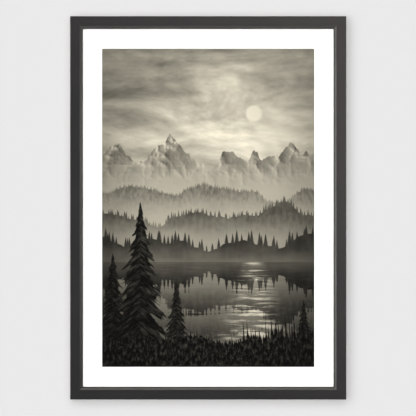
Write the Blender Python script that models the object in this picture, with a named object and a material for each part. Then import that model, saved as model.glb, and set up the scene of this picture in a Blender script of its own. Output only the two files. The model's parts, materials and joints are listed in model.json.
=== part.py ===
# A framed print, made as a framer makes it: four mitred rails, glass, a window mat, the print,
# a filler board and a back board, turn buttons that hold the back in, a sawtooth hanger that
# hooks over a nail, and two bumpers that keep the lower edge off the wall.
#
# Run it with: blender --background --python part.py
#
# Units are metres. +X is the viewer's right, +Z is up and the front faces -Y.
# The origin is the middle notch of the hanger, where the nail carries the frame.

import math

import bmesh
import bpy

# The front, from the picture outwards
PICTURE_WIDTH = 0.400
PICTURE_HEIGHT = 0.600
SIDE_MARGIN = 0.036            # mat between the picture and the sight edge, left and right
END_MARGIN = 0.037             # the same, above and below
RAIL_WIDTH = 0.024             # rail from its outer edge to the sight edge
OUTER_WIDTH = PICTURE_WIDTH + 2 * (SIDE_MARGIN + RAIL_WIDTH)
OUTER_HEIGHT = PICTURE_HEIGHT + 2 * (END_MARGIN + RAIL_WIDTH)

# Clearances
GAP = 0.0003                   # between pieces that touch
EDGE_PLAY = 0.0005             # between a sheet's edge and the rebate

# The rail's section: inwards from the outer edge, and back from the front face
RAIL_DEPTH = 0.022
FACE_WIDTH = 0.0182            # flat front, up to the bevel
BEVEL_WIDTH = 0.0038
BEVEL_DROP = 0.0026
QUIRK_DROP = 0.0008            # small step below the bevel
ARRIS_RADIUS = 0.0010          # rounding of the outer front edge
SIGHT_RADIUS = 0.0005          # rounding of the sight edge
BACK_EASE = 0.0005             # chamfer on the outer back edge
LIP_WIDTH = 0.0060             # lip over the glass
LIP_BACK = 0.0086              # depth at which the glass starts
ARC_STEPS = 4
WALL_WIDTH = RAIL_WIDTH - LIP_WIDTH

# What lies in the rebate, front to back
GLASS_THICKNESS = 0.0020
MAT_THICKNESS = 0.0014         # also the width of its 45 degree bevel
PRINT_THICKNESS = 0.0004
PRINT_BORDER = 0.010           # paper hidden behind the mat
FILLER_THICKNESS = 0.0050
BACK_THICKNESS = 0.0030
SHEET_WIDTH = OUTER_WIDTH - 2 * (WALL_WIDTH + EDGE_PLAY)
SHEET_HEIGHT = OUTER_HEIGHT - 2 * (WALL_WIDTH + EDGE_PLAY)
EDGE_EASE = 0.0002

# Corner nails, driven flush into the back across each mitre
NAIL_INSET = 0.0090            # middle of the nail from both outer edges
NAIL_LEAF = 0.0050             # length of each leaf of the V
NAIL_THICKNESS = 0.0008
NAIL_DEPTH = 0.0080
NAIL_SUNK = 0.0001             # below the rail's back face

# Turn buttons
BUTTON_SPREAD = 0.30           # from the middle of a side, as a share of its length
BUTTON_INSET = 0.0090          # pivot from the outer edge
BUTTON_THICKNESS = 0.0012
PIVOT_RADIUS = 0.0050          # round end at the screw
TONGUE_RADIUS = 0.0040         # round end over the back board
TONGUE_REACH = 0.0130          # between the centres of the two ends

# Pan head screws and their holes
SHANK_RADIUS = 0.0015
SHANK_LENGTH = 0.0090
TIP_LENGTH = 0.0022
HEAD_RADIUS = 0.0032
HEAD_HEIGHT = 0.0015
HEAD_ROUND = 0.0010            # rounding of the head's upper edge
RECESS_LENGTH = 0.0034         # cross recess, tip to tip
RECESS_WIDTH = 0.0008
RECESS_DEPTH = 0.0008
HOLE_RADIUS = SHANK_RADIUS + GAP
HOLE_DEPTH = SHANK_LENGTH + GAP
ROUND_STEPS = 24

# Sawtooth hanger on the back of the top rail
HANGER_LENGTH = 0.064          # between the centres of its two round ends
HANGER_TOP = 0.0080            # strip above the notches
HANGER_THICKNESS = 0.0010
HANGER_RISE = 0.0020           # how far the bridge stands off the feet
FOOT_LENGTH = 0.0085           # from an end's centre to the bend
BEND_LENGTH = 0.0025
TOOTH_PITCH = 0.0030
TOOTH_DEPTH = 0.0012
NOTCHES_EACH_SIDE = 6
NOTCH_INSET = 0.0105           # middle notch from the frame's top edge
HANGER_END_RADIUS = (HANGER_TOP + TOOTH_DEPTH) / 2
HANGER_MIDDLE = HANGER_TOP - HANGER_END_RADIUS

# Bumpers on the back of the bottom rail
BUMPER_RADIUS = 0.0060
BUMPER_HEIGHT = 0.0037
BUMPER_ROUND = 0.0008
BUMPER_INSET = 0.0220          # from the frame's side
BUMPER_RISE = 0.0090           # from the frame's bottom edge

# Where the frame lies around the origin
FRONT_Y = -(RAIL_DEPTH + GAP + HANGER_RISE + HANGER_THICKNESS / 2)
BACK_Y = FRONT_Y + RAIL_DEPTH
CENTRE_Z = NOTCH_INSET - OUTER_HEIGHT / 2

# Each side: its turn about Y from the top side, and the names of its halves and its far corner
SIDES = {
    "top": (0, ("left", "right"), "top_right"),
    "right": (90, ("upper", "lower"), "bottom_right"),
    "bottom": (180, ("right", "left"), "bottom_left"),
    "left": (-90, ("lower", "upper"), "top_left"),
}

# Colour, roughness, metallic value and transmission of each finish
FINISHES = {
    "black_frame": ((0.022, 0.020, 0.019), 0.42, 0.0, 0.0),
    "glass": ((0.96, 0.98, 0.97), 0.03, 0.0, 1.0),
    "mat_board": ((0.93, 0.93, 0.92), 0.85, 0.0, 0.0),
    "print_paper": ((0.30, 0.29, 0.25), 0.70, 0.0, 0.0),
    "filler_card": ((0.88, 0.88, 0.86), 0.80, 0.0, 0.0),
    "back_board": ((0.33, 0.22, 0.13), 0.75, 0.0, 0.0),
    "zinc_steel": ((0.62, 0.62, 0.60), 0.35, 1.0, 0.0),
    "black_rubber": ((0.025, 0.025, 0.025), 0.80, 0.0, 0.0),
}


# Scene and objects

def clear_scene():
    for thing in list(bpy.data.objects):
        bpy.data.objects.remove(thing, do_unlink=True)


def make_material(name):
    colour, roughness, metallic, transmission = FINISHES[name]
    material = bpy.data.materials.new(name)
    material.use_nodes = True
    shader = material.node_tree.nodes["Principled BSDF"]
    shader.inputs["Base Color"].default_value = (*colour, 1.0)
    shader.inputs["Roughness"].default_value = roughness
    shader.inputs["Metallic"].default_value = metallic
    shader.inputs["Transmission Weight"].default_value = transmission
    return material


def place(thing, location, parent, turn_degrees):
    thing.location = location
    thing.rotation_euler = (0.0, math.radians(turn_degrees), 0.0)
    thing.parent = parent
    bpy.context.scene.collection.objects.link(thing)
    return thing


def add_piece(name, mesh, finish, location=(0.0, 0.0, 0.0), parent=None, turn_degrees=0):
    if not mesh.materials:
        mesh.materials.append(bpy.data.materials.get(finish) or make_material(finish))
    return place(bpy.data.objects.new(name, mesh), location, parent, turn_degrees)


def add_cutter(name, mesh, location=(0.0, 0.0, 0.0), parent=None, turn_degrees=0):
    cutter = place(bpy.data.objects.new(name, mesh), location, parent, turn_degrees)
    cutter.display_type = "WIRE"
    cutter.hide_render = True
    return cutter


def cut(piece, cutter):
    boolean = piece.modifiers.new("cut_" + cutter.name, "BOOLEAN")
    boolean.operation = "DIFFERENCE"
    boolean.solver = "EXACT"
    boolean.object = cutter


def ease_edges(piece):
    bevel = piece.modifiers.new("eased_edges", "BEVEL")
    bevel.width = EDGE_EASE
    bevel.segments = 1
    bevel.limit_method = "ANGLE"


# Outlines and meshes

def arc(centre, radius, start_degrees, end_degrees, steps):
    points = []
    for step in range(steps + 1):
        angle = math.radians(start_degrees + (end_degrees - start_degrees) * step / steps)
        points.append((centre[0] + radius * math.cos(angle), centre[1] + radius * math.sin(angle)))
    return points


def finish_mesh(name, shape, smooth=False):
    bmesh.ops.recalc_face_normals(shape, faces=shape.faces)
    mesh = bpy.data.meshes.new(name)
    shape.to_mesh(mesh)
    shape.free()
    if smooth:
        mesh.shade_smooth()
        mesh.set_sharp_from_angle(angle=math.radians(30))
    return mesh


def prism(outline, depth):
    # An outline in X and Z, made solid from y = 0 to y = depth
    shape = bmesh.new()
    front = shape.faces.new([shape.verts.new((x, 0.0, z)) for x, z in outline])
    grown = bmesh.ops.extrude_face_region(shape, geom=[front])["geom"]
    bmesh.ops.translate(shape, verts=[v for v in grown if isinstance(v, bmesh.types.BMVert)],
                        vec=(0.0, depth, 0.0))
    return shape


def turned(profile):
    # Points of (radius, y), turned about the Y axis
    shape = bmesh.new()
    verts = [shape.verts.new((radius, y, 0.0)) for radius, y in profile]
    edges = [shape.edges.new(pair) for pair in zip(verts, verts[1:])]
    bmesh.ops.spin(shape, geom=verts + edges, cent=(0.0, 0.0, 0.0), axis=(0.0, 1.0, 0.0),
                   angle=math.tau, steps=ROUND_STEPS)
    bmesh.ops.remove_doubles(shape, verts=shape.verts, dist=0.00001)
    return shape


def ring_faces(shape, loops):
    # Quads between each loop of vertices and the next, and from the last back to the first
    for loop, following in zip(loops, loops[1:] + loops[:1]):
        for here in range(len(loop)):
            after = (here + 1) % len(loop)
            shape.faces.new((loop[here], loop[after], following[after], following[here]))


# Rails

def rail_section():
    bevel_end = FACE_WIDTH + BEVEL_WIDTH
    tread = BEVEL_DROP + QUIRK_DROP
    points = arc((ARRIS_RADIUS, ARRIS_RADIUS), ARRIS_RADIUS, 180, 270, ARC_STEPS)
    points += [(FACE_WIDTH, 0.0), (bevel_end, BEVEL_DROP), (bevel_end, tread)]
    points += arc((RAIL_WIDTH - SIGHT_RADIUS, tread + SIGHT_RADIUS), SIGHT_RADIUS, -90, 0, ARC_STEPS)
    points += [(RAIL_WIDTH, LIP_BACK), (WALL_WIDTH, LIP_BACK), (WALL_WIDTH, RAIL_DEPTH)]
    points += [(BACK_EASE, RAIL_DEPTH), (0.0, RAIL_DEPTH - BACK_EASE)]
    return points


def rail_mesh(name, length, reach):
    # Both ends are mitred at 45 degrees, half a gap short of the joint
    mitre_play = GAP / 2 * math.sqrt(2)
    shape = bmesh.new()
    ends = []
    for way in (-1, 1):
        end = []
        for inwards, back in rail_section():
            end.append(shape.verts.new((way * (length / 2 - inwards - mitre_play), back, reach - inwards)))
        shape.faces.new(end)
        ends.append(end)
    first, last = ends
    for here in range(len(first)):
        after = (here + 1) % len(first)
        shape.faces.new((first[here], first[after], last[after], last[here]))
    return finish_mesh(name, shape, smooth=True)


def build_sides():
    # An empty for each side, in the frame's middle and turned so that the side lies at its local top
    sides = {}
    for name, (turn_degrees, halves, corner) in SIDES.items():
        upright = name in ("left", "right")
        length = OUTER_HEIGHT if upright else OUTER_WIDTH
        reach = (OUTER_WIDTH if upright else OUTER_HEIGHT) / 2
        hub = place(bpy.data.objects.new("side_" + name, None), (0.0, FRONT_Y, CENTRE_Z), None, turn_degrees)
        rail = add_piece("frame_" + name, rail_mesh("rail_" + name, length, reach), "black_frame", parent=hub)
        sides[name] = {"hub": hub, "rail": rail, "length": length, "reach": reach,
                       "halves": halves, "corner": corner}
    return sides


# Sheets in the rebate

def sheet_mesh(name, width, height, thickness):
    shape = bmesh.new()
    bmesh.ops.create_cube(shape, size=1.0)
    bmesh.ops.scale(shape, verts=shape.verts, vec=(width, thickness, height))
    bmesh.ops.translate(shape, verts=shape.verts, vec=(0.0, thickness / 2, 0.0))
    return finish_mesh(name, shape)


def window_mat_mesh(name):
    # The window's edge is cut at 45 degrees, so it is wider at the front than at the back
    rings = (
        (SHEET_WIDTH, SHEET_HEIGHT, 0.0),
        (PICTURE_WIDTH + 2 * MAT_THICKNESS, PICTURE_HEIGHT + 2 * MAT_THICKNESS, 0.0),
        (PICTURE_WIDTH, PICTURE_HEIGHT, MAT_THICKNESS),
        (SHEET_WIDTH, SHEET_HEIGHT, MAT_THICKNESS),
    )
    shape = bmesh.new()
    loops = []
    for width, height, y in rings:
        corners = ((-width, -height), (width, -height), (width, height), (-width, height))
        loops.append([shape.verts.new((x / 2, y, z / 2)) for x, z in corners])
    ring_faces(shape, loops)
    return finish_mesh(name, shape)


def build_sheets():
    paper_width = PICTURE_WIDTH + 2 * PRINT_BORDER
    paper_height = PICTURE_HEIGHT + 2 * PRINT_BORDER
    stack = (
        ("glazing", sheet_mesh("glazing", SHEET_WIDTH, SHEET_HEIGHT, GLASS_THICKNESS),
         GLASS_THICKNESS, "glass"),
        ("window_mat", window_mat_mesh("window_mat"),
         MAT_THICKNESS, "mat_board"),
        ("print_sheet", sheet_mesh("print_sheet", paper_width, paper_height, PRINT_THICKNESS),
         PRINT_THICKNESS, "print_paper"),
        ("filler_board", sheet_mesh("filler_board", SHEET_WIDTH, SHEET_HEIGHT, FILLER_THICKNESS),
         FILLER_THICKNESS, "filler_card"),
        ("back_board", sheet_mesh("back_board", SHEET_WIDTH, SHEET_HEIGHT, BACK_THICKNESS),
         BACK_THICKNESS, "back_board"),
    )
    front = FRONT_Y + LIP_BACK + GAP
    for name, mesh, thickness, finish in stack:
        sheet = add_piece(name, mesh, finish, location=(0.0, front, CENTRE_Z))
        if name in ("glazing", "back_board"):
            ease_edges(sheet)
        front += thickness + GAP


# Corner nails

def nail_outline(play):
    # A V that stands on its point, with its leaves at 45 degrees and its middle at the origin
    half = NAIL_THICKNESS / 2 + play
    leaf = NAIL_LEAF + play
    slope = math.sqrt(0.5)
    drop = NAIL_LEAF * slope / 2
    outer = ((leaf + half) * slope, (leaf - half) * slope - drop)
    inner = ((leaf - half) * slope, (leaf + half) * slope - drop)
    point = half / slope
    return [(0.0, -point - drop), outer, inner, (0.0, point - drop), (-inner[0], inner[1]), (-outer[0], outer[1])]


def build_corner_nails(sides):
    nail_mesh = finish_mesh("corner_nail", prism(nail_outline(0.0), NAIL_DEPTH))
    slot_mesh = finish_mesh("corner_slot", prism(nail_outline(GAP), NAIL_DEPTH + 3 * GAP))
    start = RAIL_DEPTH - NAIL_SUNK - NAIL_DEPTH
    order = list(sides.values())
    for side, following in zip(order, order[1:] + order[:1]):
        across = side["length"] / 2 - NAIL_INSET
        rise = side["reach"] - NAIL_INSET
        corner = side["corner"]
        add_piece("corner_nail_" + corner, nail_mesh, "zinc_steel", (across, start, rise), side["hub"], 45)
        slot = add_cutter("corner_slot_" + corner, slot_mesh, (across, start - GAP, rise), side["hub"], 45)
        cut(side["rail"], slot)
        cut(following["rail"], slot)


# Screws, drawn with the wood's surface at y = 0 and the point towards -Y

def cross_outline():
    half = RECESS_WIDTH / 2
    arm = RECESS_LENGTH / 2
    outline = []
    for x, z in ((1, 0), (0, 1), (-1, 0), (0, -1)):
        outline.append((x * arm + z * half, z * arm - x * half))
        outline.append((x * arm - z * half, z * arm + x * half))
        outline.append((x * half - z * half, z * half + x * half))
    return outline


def screw_mesh(name, seat):
    crown = seat + HEAD_HEIGHT
    profile = [(0.0, -SHANK_LENGTH), (SHANK_RADIUS, TIP_LENGTH - SHANK_LENGTH)]
    profile += [(SHANK_RADIUS, seat), (HEAD_RADIUS, seat)]
    profile += arc((HEAD_RADIUS - HEAD_ROUND, crown - HEAD_ROUND), HEAD_ROUND, 0, 90, ARC_STEPS)
    shape = turned(profile)
    rim = [edge for edge in shape.edges if edge.is_boundary]
    top = [shape.verts.new((x, crown, z)) for x, z in cross_outline()]
    floor = [shape.verts.new((x, crown - RECESS_DEPTH, z)) for x, z in cross_outline()]
    edge_of_cross = [shape.edges.new(pair) for pair in zip(top, top[1:] + top[:1])]
    bmesh.ops.triangle_fill(shape, edges=rim + edge_of_cross, use_beauty=True)
    for here in range(len(top)):
        after = (here + 1) % len(top)
        shape.faces.new((top[here], top[after], floor[after], floor[here]))
    shape.faces.new(floor)
    return finish_mesh(name, shape, smooth=True)


def hole_mesh(name, length):
    circle = arc((0.0, 0.0), HOLE_RADIUS, 0, 360, ROUND_STEPS)[:-1]
    return finish_mesh(name, prism(circle, length))


# Turn buttons

def button_outline():
    # Two round ends and the two lines that touch both, hanging down from the pivot
    lean = math.degrees(math.asin((PIVOT_RADIUS - TONGUE_RADIUS) / TONGUE_REACH))
    upper = arc((0.0, 0.0), PIVOT_RADIUS, lean, 180 - lean, ROUND_STEPS // 2)
    lower = arc((0.0, -TONGUE_REACH), TONGUE_RADIUS, 180 - lean, 360 + lean, ROUND_STEPS // 2)
    return upper + lower


def build_turn_buttons(sides):
    seat = 2 * GAP + BUTTON_THICKNESS
    button_mesh = finish_mesh("turn_button", prism(button_outline(), BUTTON_THICKNESS), smooth=True)
    fixing_mesh = screw_mesh("button_screw", seat)
    drill_mesh = hole_mesh("button_hole", HOLE_DEPTH + seat)
    for name, side in sides.items():
        for way, half in zip((-1, 1), side["halves"]):
            spot = name + "_" + half
            across = way * BUTTON_SPREAD * side["length"]
            rise = side["reach"] - BUTTON_INSET
            hub = side["hub"]
            button = add_piece("turn_button_" + spot, button_mesh, "zinc_steel",
                               (across, RAIL_DEPTH + GAP, rise), hub)
            add_piece("button_screw_" + spot, fixing_mesh, "zinc_steel", (across, RAIL_DEPTH, rise), hub)
            hole = add_cutter("button_hole_" + spot, drill_mesh, (across, RAIL_DEPTH - HOLE_DEPTH, rise), hub)
            cut(side["rail"], hole)
            cut(button, hole)


# Sawtooth hanger

def hanger_outline():
    last = 2 * NOTCHES_EACH_SIDE + 1
    teeth = []
    for half_step in range(-last, last + 1):
        teeth.append((half_step * TOOTH_PITCH / 2, -TOOTH_DEPTH if half_step % 2 else 0.0))
    right = arc((HANGER_LENGTH / 2, HANGER_MIDDLE), HANGER_END_RADIUS, -90, 90, ROUND_STEPS // 2)
    left = arc((-HANGER_LENGTH / 2, HANGER_MIDDLE), HANGER_END_RADIUS, 90, 270, ROUND_STEPS // 2)
    return teeth + right + left


def hanger_mesh(name):
    # A flat strip, bent up beyond each foot into a bridge that the nail's head passes behind
    foot_end = HANGER_LENGTH / 2 - FOOT_LENGTH
    bridge_end = foot_end - BEND_LENGTH
    shape = prism(hanger_outline(), HANGER_THICKNESS)
    for x in (-foot_end, -bridge_end, bridge_end, foot_end):
        everything = shape.verts[:] + shape.edges[:] + shape.faces[:]
        bmesh.ops.bisect_plane(shape, geom=everything, plane_co=(x, 0.0, 0.0), plane_no=(1.0, 0.0, 0.0))
    for vert in shape.verts:
        climb = (foot_end - abs(vert.co.x)) / BEND_LENGTH
        vert.co.y += HANGER_RISE * (min(max(climb, 0.0), 1.0) - 1.0) - HANGER_THICKNESS / 2
    return finish_mesh(name, shape)


def build_hanger(sides):
    rail = sides["top"]["rail"]
    seat = 2 * GAP + HANGER_THICKNESS
    hanger = add_piece("sawtooth_hanger", hanger_mesh("sawtooth_hanger"), "zinc_steel")
    fixing_mesh = screw_mesh("hanger_screw", seat)
    drill_mesh = hole_mesh("hanger_hole", HOLE_DEPTH + seat)
    for way, half in ((-1, "left"), (1, "right")):
        across = way * HANGER_LENGTH / 2
        add_piece("hanger_screw_" + half, fixing_mesh, "zinc_steel", (across, BACK_Y, HANGER_MIDDLE))
        hole = add_cutter("hanger_hole_" + half, drill_mesh, (across, BACK_Y - HOLE_DEPTH, HANGER_MIDDLE))
        cut(rail, hole)
        cut(hanger, hole)


# Bumpers

def build_bumpers():
    profile = [(0.0, 0.0), (BUMPER_RADIUS, 0.0)]
    profile += arc((BUMPER_RADIUS - BUMPER_ROUND, BUMPER_HEIGHT - BUMPER_ROUND), BUMPER_ROUND, 0, 90, ARC_STEPS)
    profile += [(0.0, BUMPER_HEIGHT)]
    pad_mesh = finish_mesh("bumper", turned(profile), smooth=True)
    height = CENTRE_Z - OUTER_HEIGHT / 2 + BUMPER_RISE
    for way, half in ((-1, "left"), (1, "right")):
        across = way * (OUTER_WIDTH / 2 - BUMPER_INSET)
        add_piece("bumper_" + half, pad_mesh, "black_rubber", (across, BACK_Y + GAP, height))


def main():
    clear_scene()
    sides = build_sides()
    build_sheets()
    build_corner_nails(sides)
    build_turn_buttons(sides)
    build_hanger(sides)
    build_bumpers()


main()
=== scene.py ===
# %% [markdown]
# # A framed print, dressed for its picture
#
# The model that is loaded here comes from a construction script: every piece of the frame is there at
# its real size, but plain. This lesson gives it its looks. It hangs the frame on a pale wall, lights
# it, rebuilds the wooden mouldings and the metal fittings finely enough for a close look, and paints
# every surface with shader nodes. Nothing moves or changes size on the way.
#
# All lengths are in metres. +X is the viewer's right, +Z is up, and the front faces -Y.

# %% Load the model
import json
import math

import bmesh
import bpy
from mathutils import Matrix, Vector


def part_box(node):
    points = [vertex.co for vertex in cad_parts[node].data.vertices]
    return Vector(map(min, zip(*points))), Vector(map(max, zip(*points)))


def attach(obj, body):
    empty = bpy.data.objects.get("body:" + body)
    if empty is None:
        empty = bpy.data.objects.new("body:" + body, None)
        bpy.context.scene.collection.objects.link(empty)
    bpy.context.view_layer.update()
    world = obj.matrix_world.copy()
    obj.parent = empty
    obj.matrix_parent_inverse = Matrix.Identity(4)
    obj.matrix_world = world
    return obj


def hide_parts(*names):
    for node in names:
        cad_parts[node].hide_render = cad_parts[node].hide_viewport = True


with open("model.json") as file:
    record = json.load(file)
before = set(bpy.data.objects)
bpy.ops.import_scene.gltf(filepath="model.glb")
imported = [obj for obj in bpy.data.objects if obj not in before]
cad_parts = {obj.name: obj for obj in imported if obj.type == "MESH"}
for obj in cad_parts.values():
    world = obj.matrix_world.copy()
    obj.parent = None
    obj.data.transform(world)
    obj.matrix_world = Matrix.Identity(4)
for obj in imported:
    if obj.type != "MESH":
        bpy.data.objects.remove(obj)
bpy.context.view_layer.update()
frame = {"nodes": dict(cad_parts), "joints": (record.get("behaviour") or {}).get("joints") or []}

nodes = frame["nodes"]

# %% [markdown]
# ## Sizes
#
# The frame is a moulding, cut into four lengths and joined at the corners. Where it lies can be read
# off the loaded model, so no place is typed in twice. Only the moulding's own section can't be read
# from a box, so its steps are named here: how far in from the outer edge, and how far back from the
# front, each of them lies.

# %% Read the sizes off the model
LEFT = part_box("frame_left")[0].x
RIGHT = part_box("frame_right")[1].x
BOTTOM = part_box("frame_bottom")[0].z
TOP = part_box("frame_top")[1].z
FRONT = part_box("frame_top")[0].y
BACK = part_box("frame_top")[1].y
MIDDLE = Vector(((LEFT + RIGHT) / 2, FRONT, (BOTTOM + TOP) / 2))
OUTER_WIDTH = RIGHT - LEFT
OUTER_HEIGHT = TOP - BOTTOM
RAIL_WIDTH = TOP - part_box("frame_top")[0].z
RAIL_DEPTH = BACK - FRONT

FACE_WIDTH = 0.0182            # flat front, up to the bevel
BEVEL_WIDTH = 0.0038
BEVEL_DROP = 0.0026
QUIRK_DROP = 0.0008            # small step below the bevel
LIP_WIDTH = 0.0060             # lip over the glass
LIP_BACK = 0.0086              # depth at which the glass starts
WALL_WIDTH = RAIL_WIDTH - LIP_WIDTH
print(f"outside {OUTER_WIDTH:.3f} x {OUTER_HEIGHT:.3f} x {RAIL_DEPTH:.3f} m, rail {RAIL_WIDTH:.3f} m")

# %% [markdown]
# ## The camera
#
# The frame is seen straight on, and all four of its sides look equally wide, so the camera stood far
# away with a long lens. A lens of 300 mm on a sensor of 36 mm puts it about six and a half metres off.
# An orthographic camera would look much the same, but a real lens still shows a trace of the inner
# edges. The picture shows 1.883 mm of the frame to a pixel, with the frame's middle a hair off centre.

# %% Place the camera
PICTURE_PIXELS = 416
METRES_PER_PIXEL = 0.0018826
PIXELS_LEFT = 0.22             # the camera's axis from the frame's middle
PIXELS_DOWN = 0.15
LENS = 300.0
SENSOR = 36.0


def add_camera():
    data = bpy.data.cameras.new("camera")
    data.lens = LENS
    data.sensor_width = SENSOR
    camera = bpy.data.objects.new("camera", data)
    distance = PICTURE_PIXELS * METRES_PER_PIXEL * LENS / SENSOR
    camera.location = (MIDDLE.x - PIXELS_LEFT * METRES_PER_PIXEL, FRONT - distance,
                       MIDDLE.z - PIXELS_DOWN * METRES_PER_PIXEL)
    camera.rotation_euler = (math.radians(90), 0.0, 0.0)
    bpy.context.scene.collection.objects.link(camera)
    bpy.context.scene.camera = camera
    return distance


print(f"camera {add_camera():.2f} m in front of the frame")

# %% [markdown]
# ## Shader nodes from a script
#
# A material is a small network of nodes. Written out, each node takes four or five lines, so a few short
# helpers come first. One fills a node's inputs: a number sets a socket, and another node's output is
# linked to it. One adds a node and fills it, one does a single sum, and one starts a material.

# %% Write the helpers for node trees


def fill(tree, node, inputs):
    for name, value in inputs.items():
        if isinstance(value, bpy.types.NodeSocket):
            tree.links.new(value, node.inputs[name])
        else:
            node.inputs[name].default_value = value


def add_node(tree, kind, inputs=None, **settings):
    made = tree.nodes.new("ShaderNode" + kind)
    for name, value in settings.items():
        setattr(made, name, value)
    fill(tree, made, inputs or {})
    return made


def calc(tree, operation, *values):
    return add_node(tree, "Math", dict(enumerate(values)), operation=operation).outputs[0]


def new_material(name):
    made = bpy.data.materials.new(name)
    made.use_nodes = True
    return made, made.node_tree, made.node_tree.nodes["Principled BSDF"]


print("helpers ready")

# %% [markdown]
# ## The wall and the floor
#
# A frame on a wall throws a narrow shadow beside itself, which says how deep it is. So the backdrop is
# a real wall that the two bumpers touch, and not just a grey background. From behind, the wall would
# hide the back of the frame, and from below the floor would hide all of it. A Geometry node knows which
# way a face looks, so the paint of both shows only from the front and is clear from the other side.

# %% Mix the paint of the wall and the floor
WALL_PAINT = (0.4845, 0.4845, 0.4845, 1.0)
FLOOR_PAINT = (0.80, 0.80, 0.79, 1.0)


def clear_where(tree, mask, surface):
    # Transparent where the mask is 1, and the given surface everywhere else
    clear = add_node(tree, "BsdfTransparent").outputs[0]
    return add_node(tree, "MixShader", {0: mask, 1: surface, 2: clear}).outputs[0]


def use_surface(tree, surface):
    tree.links.new(surface, tree.nodes["Material Output"].inputs["Surface"])


def one_sided_paint(name, colour):
    material, tree, shader = new_material(name)
    fill(tree, shader, {"Base Color": colour, "Roughness": 0.9, "Specular IOR Level": 0.0})
    behind = add_node(tree, "NewGeometry").outputs["Backfacing"]
    use_surface(tree, clear_where(tree, behind, shader.outputs[0]))
    return material


wall_paint = one_sided_paint("wall_paint", WALL_PAINT)
floor_paint = one_sided_paint("floor_paint", FLOOR_PAINT)
print("two paints mixed")

# %% [markdown]
# The wall stands a hair behind the bumpers, and the floor lies where it would in a room. Both are plain
# planes, and neither throws a shadow. The floor is only there to be seen: no light that it sends back
# reaches the frame.

# %% Build the wall and the floor
WALL_SIZE = 3.0
FLOOR_SIZE = 40.0
HANGING_HEIGHT = 1.5           # the frame's middle above the floor
WALL_GAP = 0.0003              # from the bumpers to the wall
WALL_Y = max(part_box("bumper_left")[1].y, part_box("bumper_right")[1].y) + WALL_GAP


def add_backdrop(name, size, location, turn, material):
    bpy.ops.object.select_all(action="DESELECT")
    bpy.ops.mesh.primitive_plane_add(size=size, location=location, rotation=turn)
    board = bpy.context.object
    board.name = name
    board.data.materials.append(material)
    board.visible_shadow = False
    return board


wall = add_backdrop("wall", WALL_SIZE, (MIDDLE.x, WALL_Y, MIDDLE.z), (math.radians(90), 0.0, 0.0),
                    wall_paint)
floor = add_backdrop("floor", FLOOR_SIZE, (MIDDLE.x, 0.0, MIDDLE.z - HANGING_HEIGHT), (0.0, 0.0, 0.0),
                     floor_paint)
floor.visible_diffuse = False
floor.visible_glossy = False
floor.visible_transmission = False
print(f"wall at y = {WALL_Y:.4f}, floor at z = {floor.location.z:.2f}")

# %% [markdown]
# ## The light
#
# A lamp from the front fills everything and throws no shadow that can be seen. A very wide, soft lamp
# from the upper left makes the shadow on the wall, darkest at the right and below. Neither shows in
# the glass, because a sheen over the whole picture would wash it out. A lamp and a second soft sun
# stand behind the wall and light the frame's back, where nothing that faces the viewer meets them.

# %% Set the lamps
FRONT_LAMP = 1.70
FRONT_LAMP_WIDTH = 6.0         # degrees, as all widths and places of the suns
SOFT_LAMP = 3.55
SOFT_LAMP_WIDTH = 76.0
SOFT_LAMP_LEFT = 11.0
SOFT_LAMP_UP = 8.5
SUN_DISTANCE = 4.0             # only where a sun stands, because its light is the same from anywhere
REAR_LAMP = 85.0
REAR_LAMP_PLACE = (-1.2, 2.2, 1.3)
REAR_LAMP_SIZE = 1.6
REAR_SUN = 2.3
REAR_SUN_WIDTH = 50.0
REAR_SUN_LEFT = 160.0
REAR_SUN_UP = 42.0


def add_lamp(name, kind, energy, location, **settings):
    data = bpy.data.lights.new(name, kind)
    data.energy = energy
    for setting, value in settings.items():
        setattr(data, setting, value)
    lamp = bpy.data.objects.new(name, data)
    bpy.context.scene.collection.objects.link(lamp)
    lamp.location = location
    lamp.rotation_euler = (MIDDLE - lamp.location).to_track_quat("-Z", "Y").to_euler()
    lamp.visible_camera = False
    return lamp


def add_sun(name, energy, left_degrees, up_degrees, width):
    left, up = math.radians(left_degrees), math.radians(up_degrees)
    way = Vector((-math.sin(left) * math.cos(up), -math.cos(left) * math.cos(up), math.sin(up)))
    sun = add_lamp(name, "SUN", energy, MIDDLE + SUN_DISTANCE * way, angle=math.radians(width))
    sun.visible_glossy = False
    return sun


front_lamp = add_sun("front_lamp", FRONT_LAMP, 0.0, 0.0, FRONT_LAMP_WIDTH)
soft_lamp = add_sun("soft_lamp", SOFT_LAMP, SOFT_LAMP_LEFT, SOFT_LAMP_UP, SOFT_LAMP_WIDTH)
for lamp in (front_lamp, soft_lamp):
    lamp.visible_transmission = False
add_lamp("rear_lamp", "AREA", REAR_LAMP, REAR_LAMP_PLACE, size=REAR_LAMP_SIZE)
add_sun("rear_sun", REAR_SUN, REAR_SUN_LEFT, REAR_SUN_UP, REAR_SUN_WIDTH)
print("front, soft and rear lamps set")

# %% [markdown]
# The black moulding shows its shape only by what it mirrors, so panels of light stand round it that
# only glossy surfaces see. A bevel mirrors what lies on the other side of the frame, well off the
# camera's axis: the bevel of the right side mirrors the left. Four panels are placed by that angle.
# Two more, nearer to the axis and warmer, make the flat faces lighter towards the right and the top.
# The glass would mirror a panel as a white sheet. With multiple importance sampling off, a lamp is
# found only by surfaces that scatter its light, and a sharp reflection never meets it.

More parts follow.
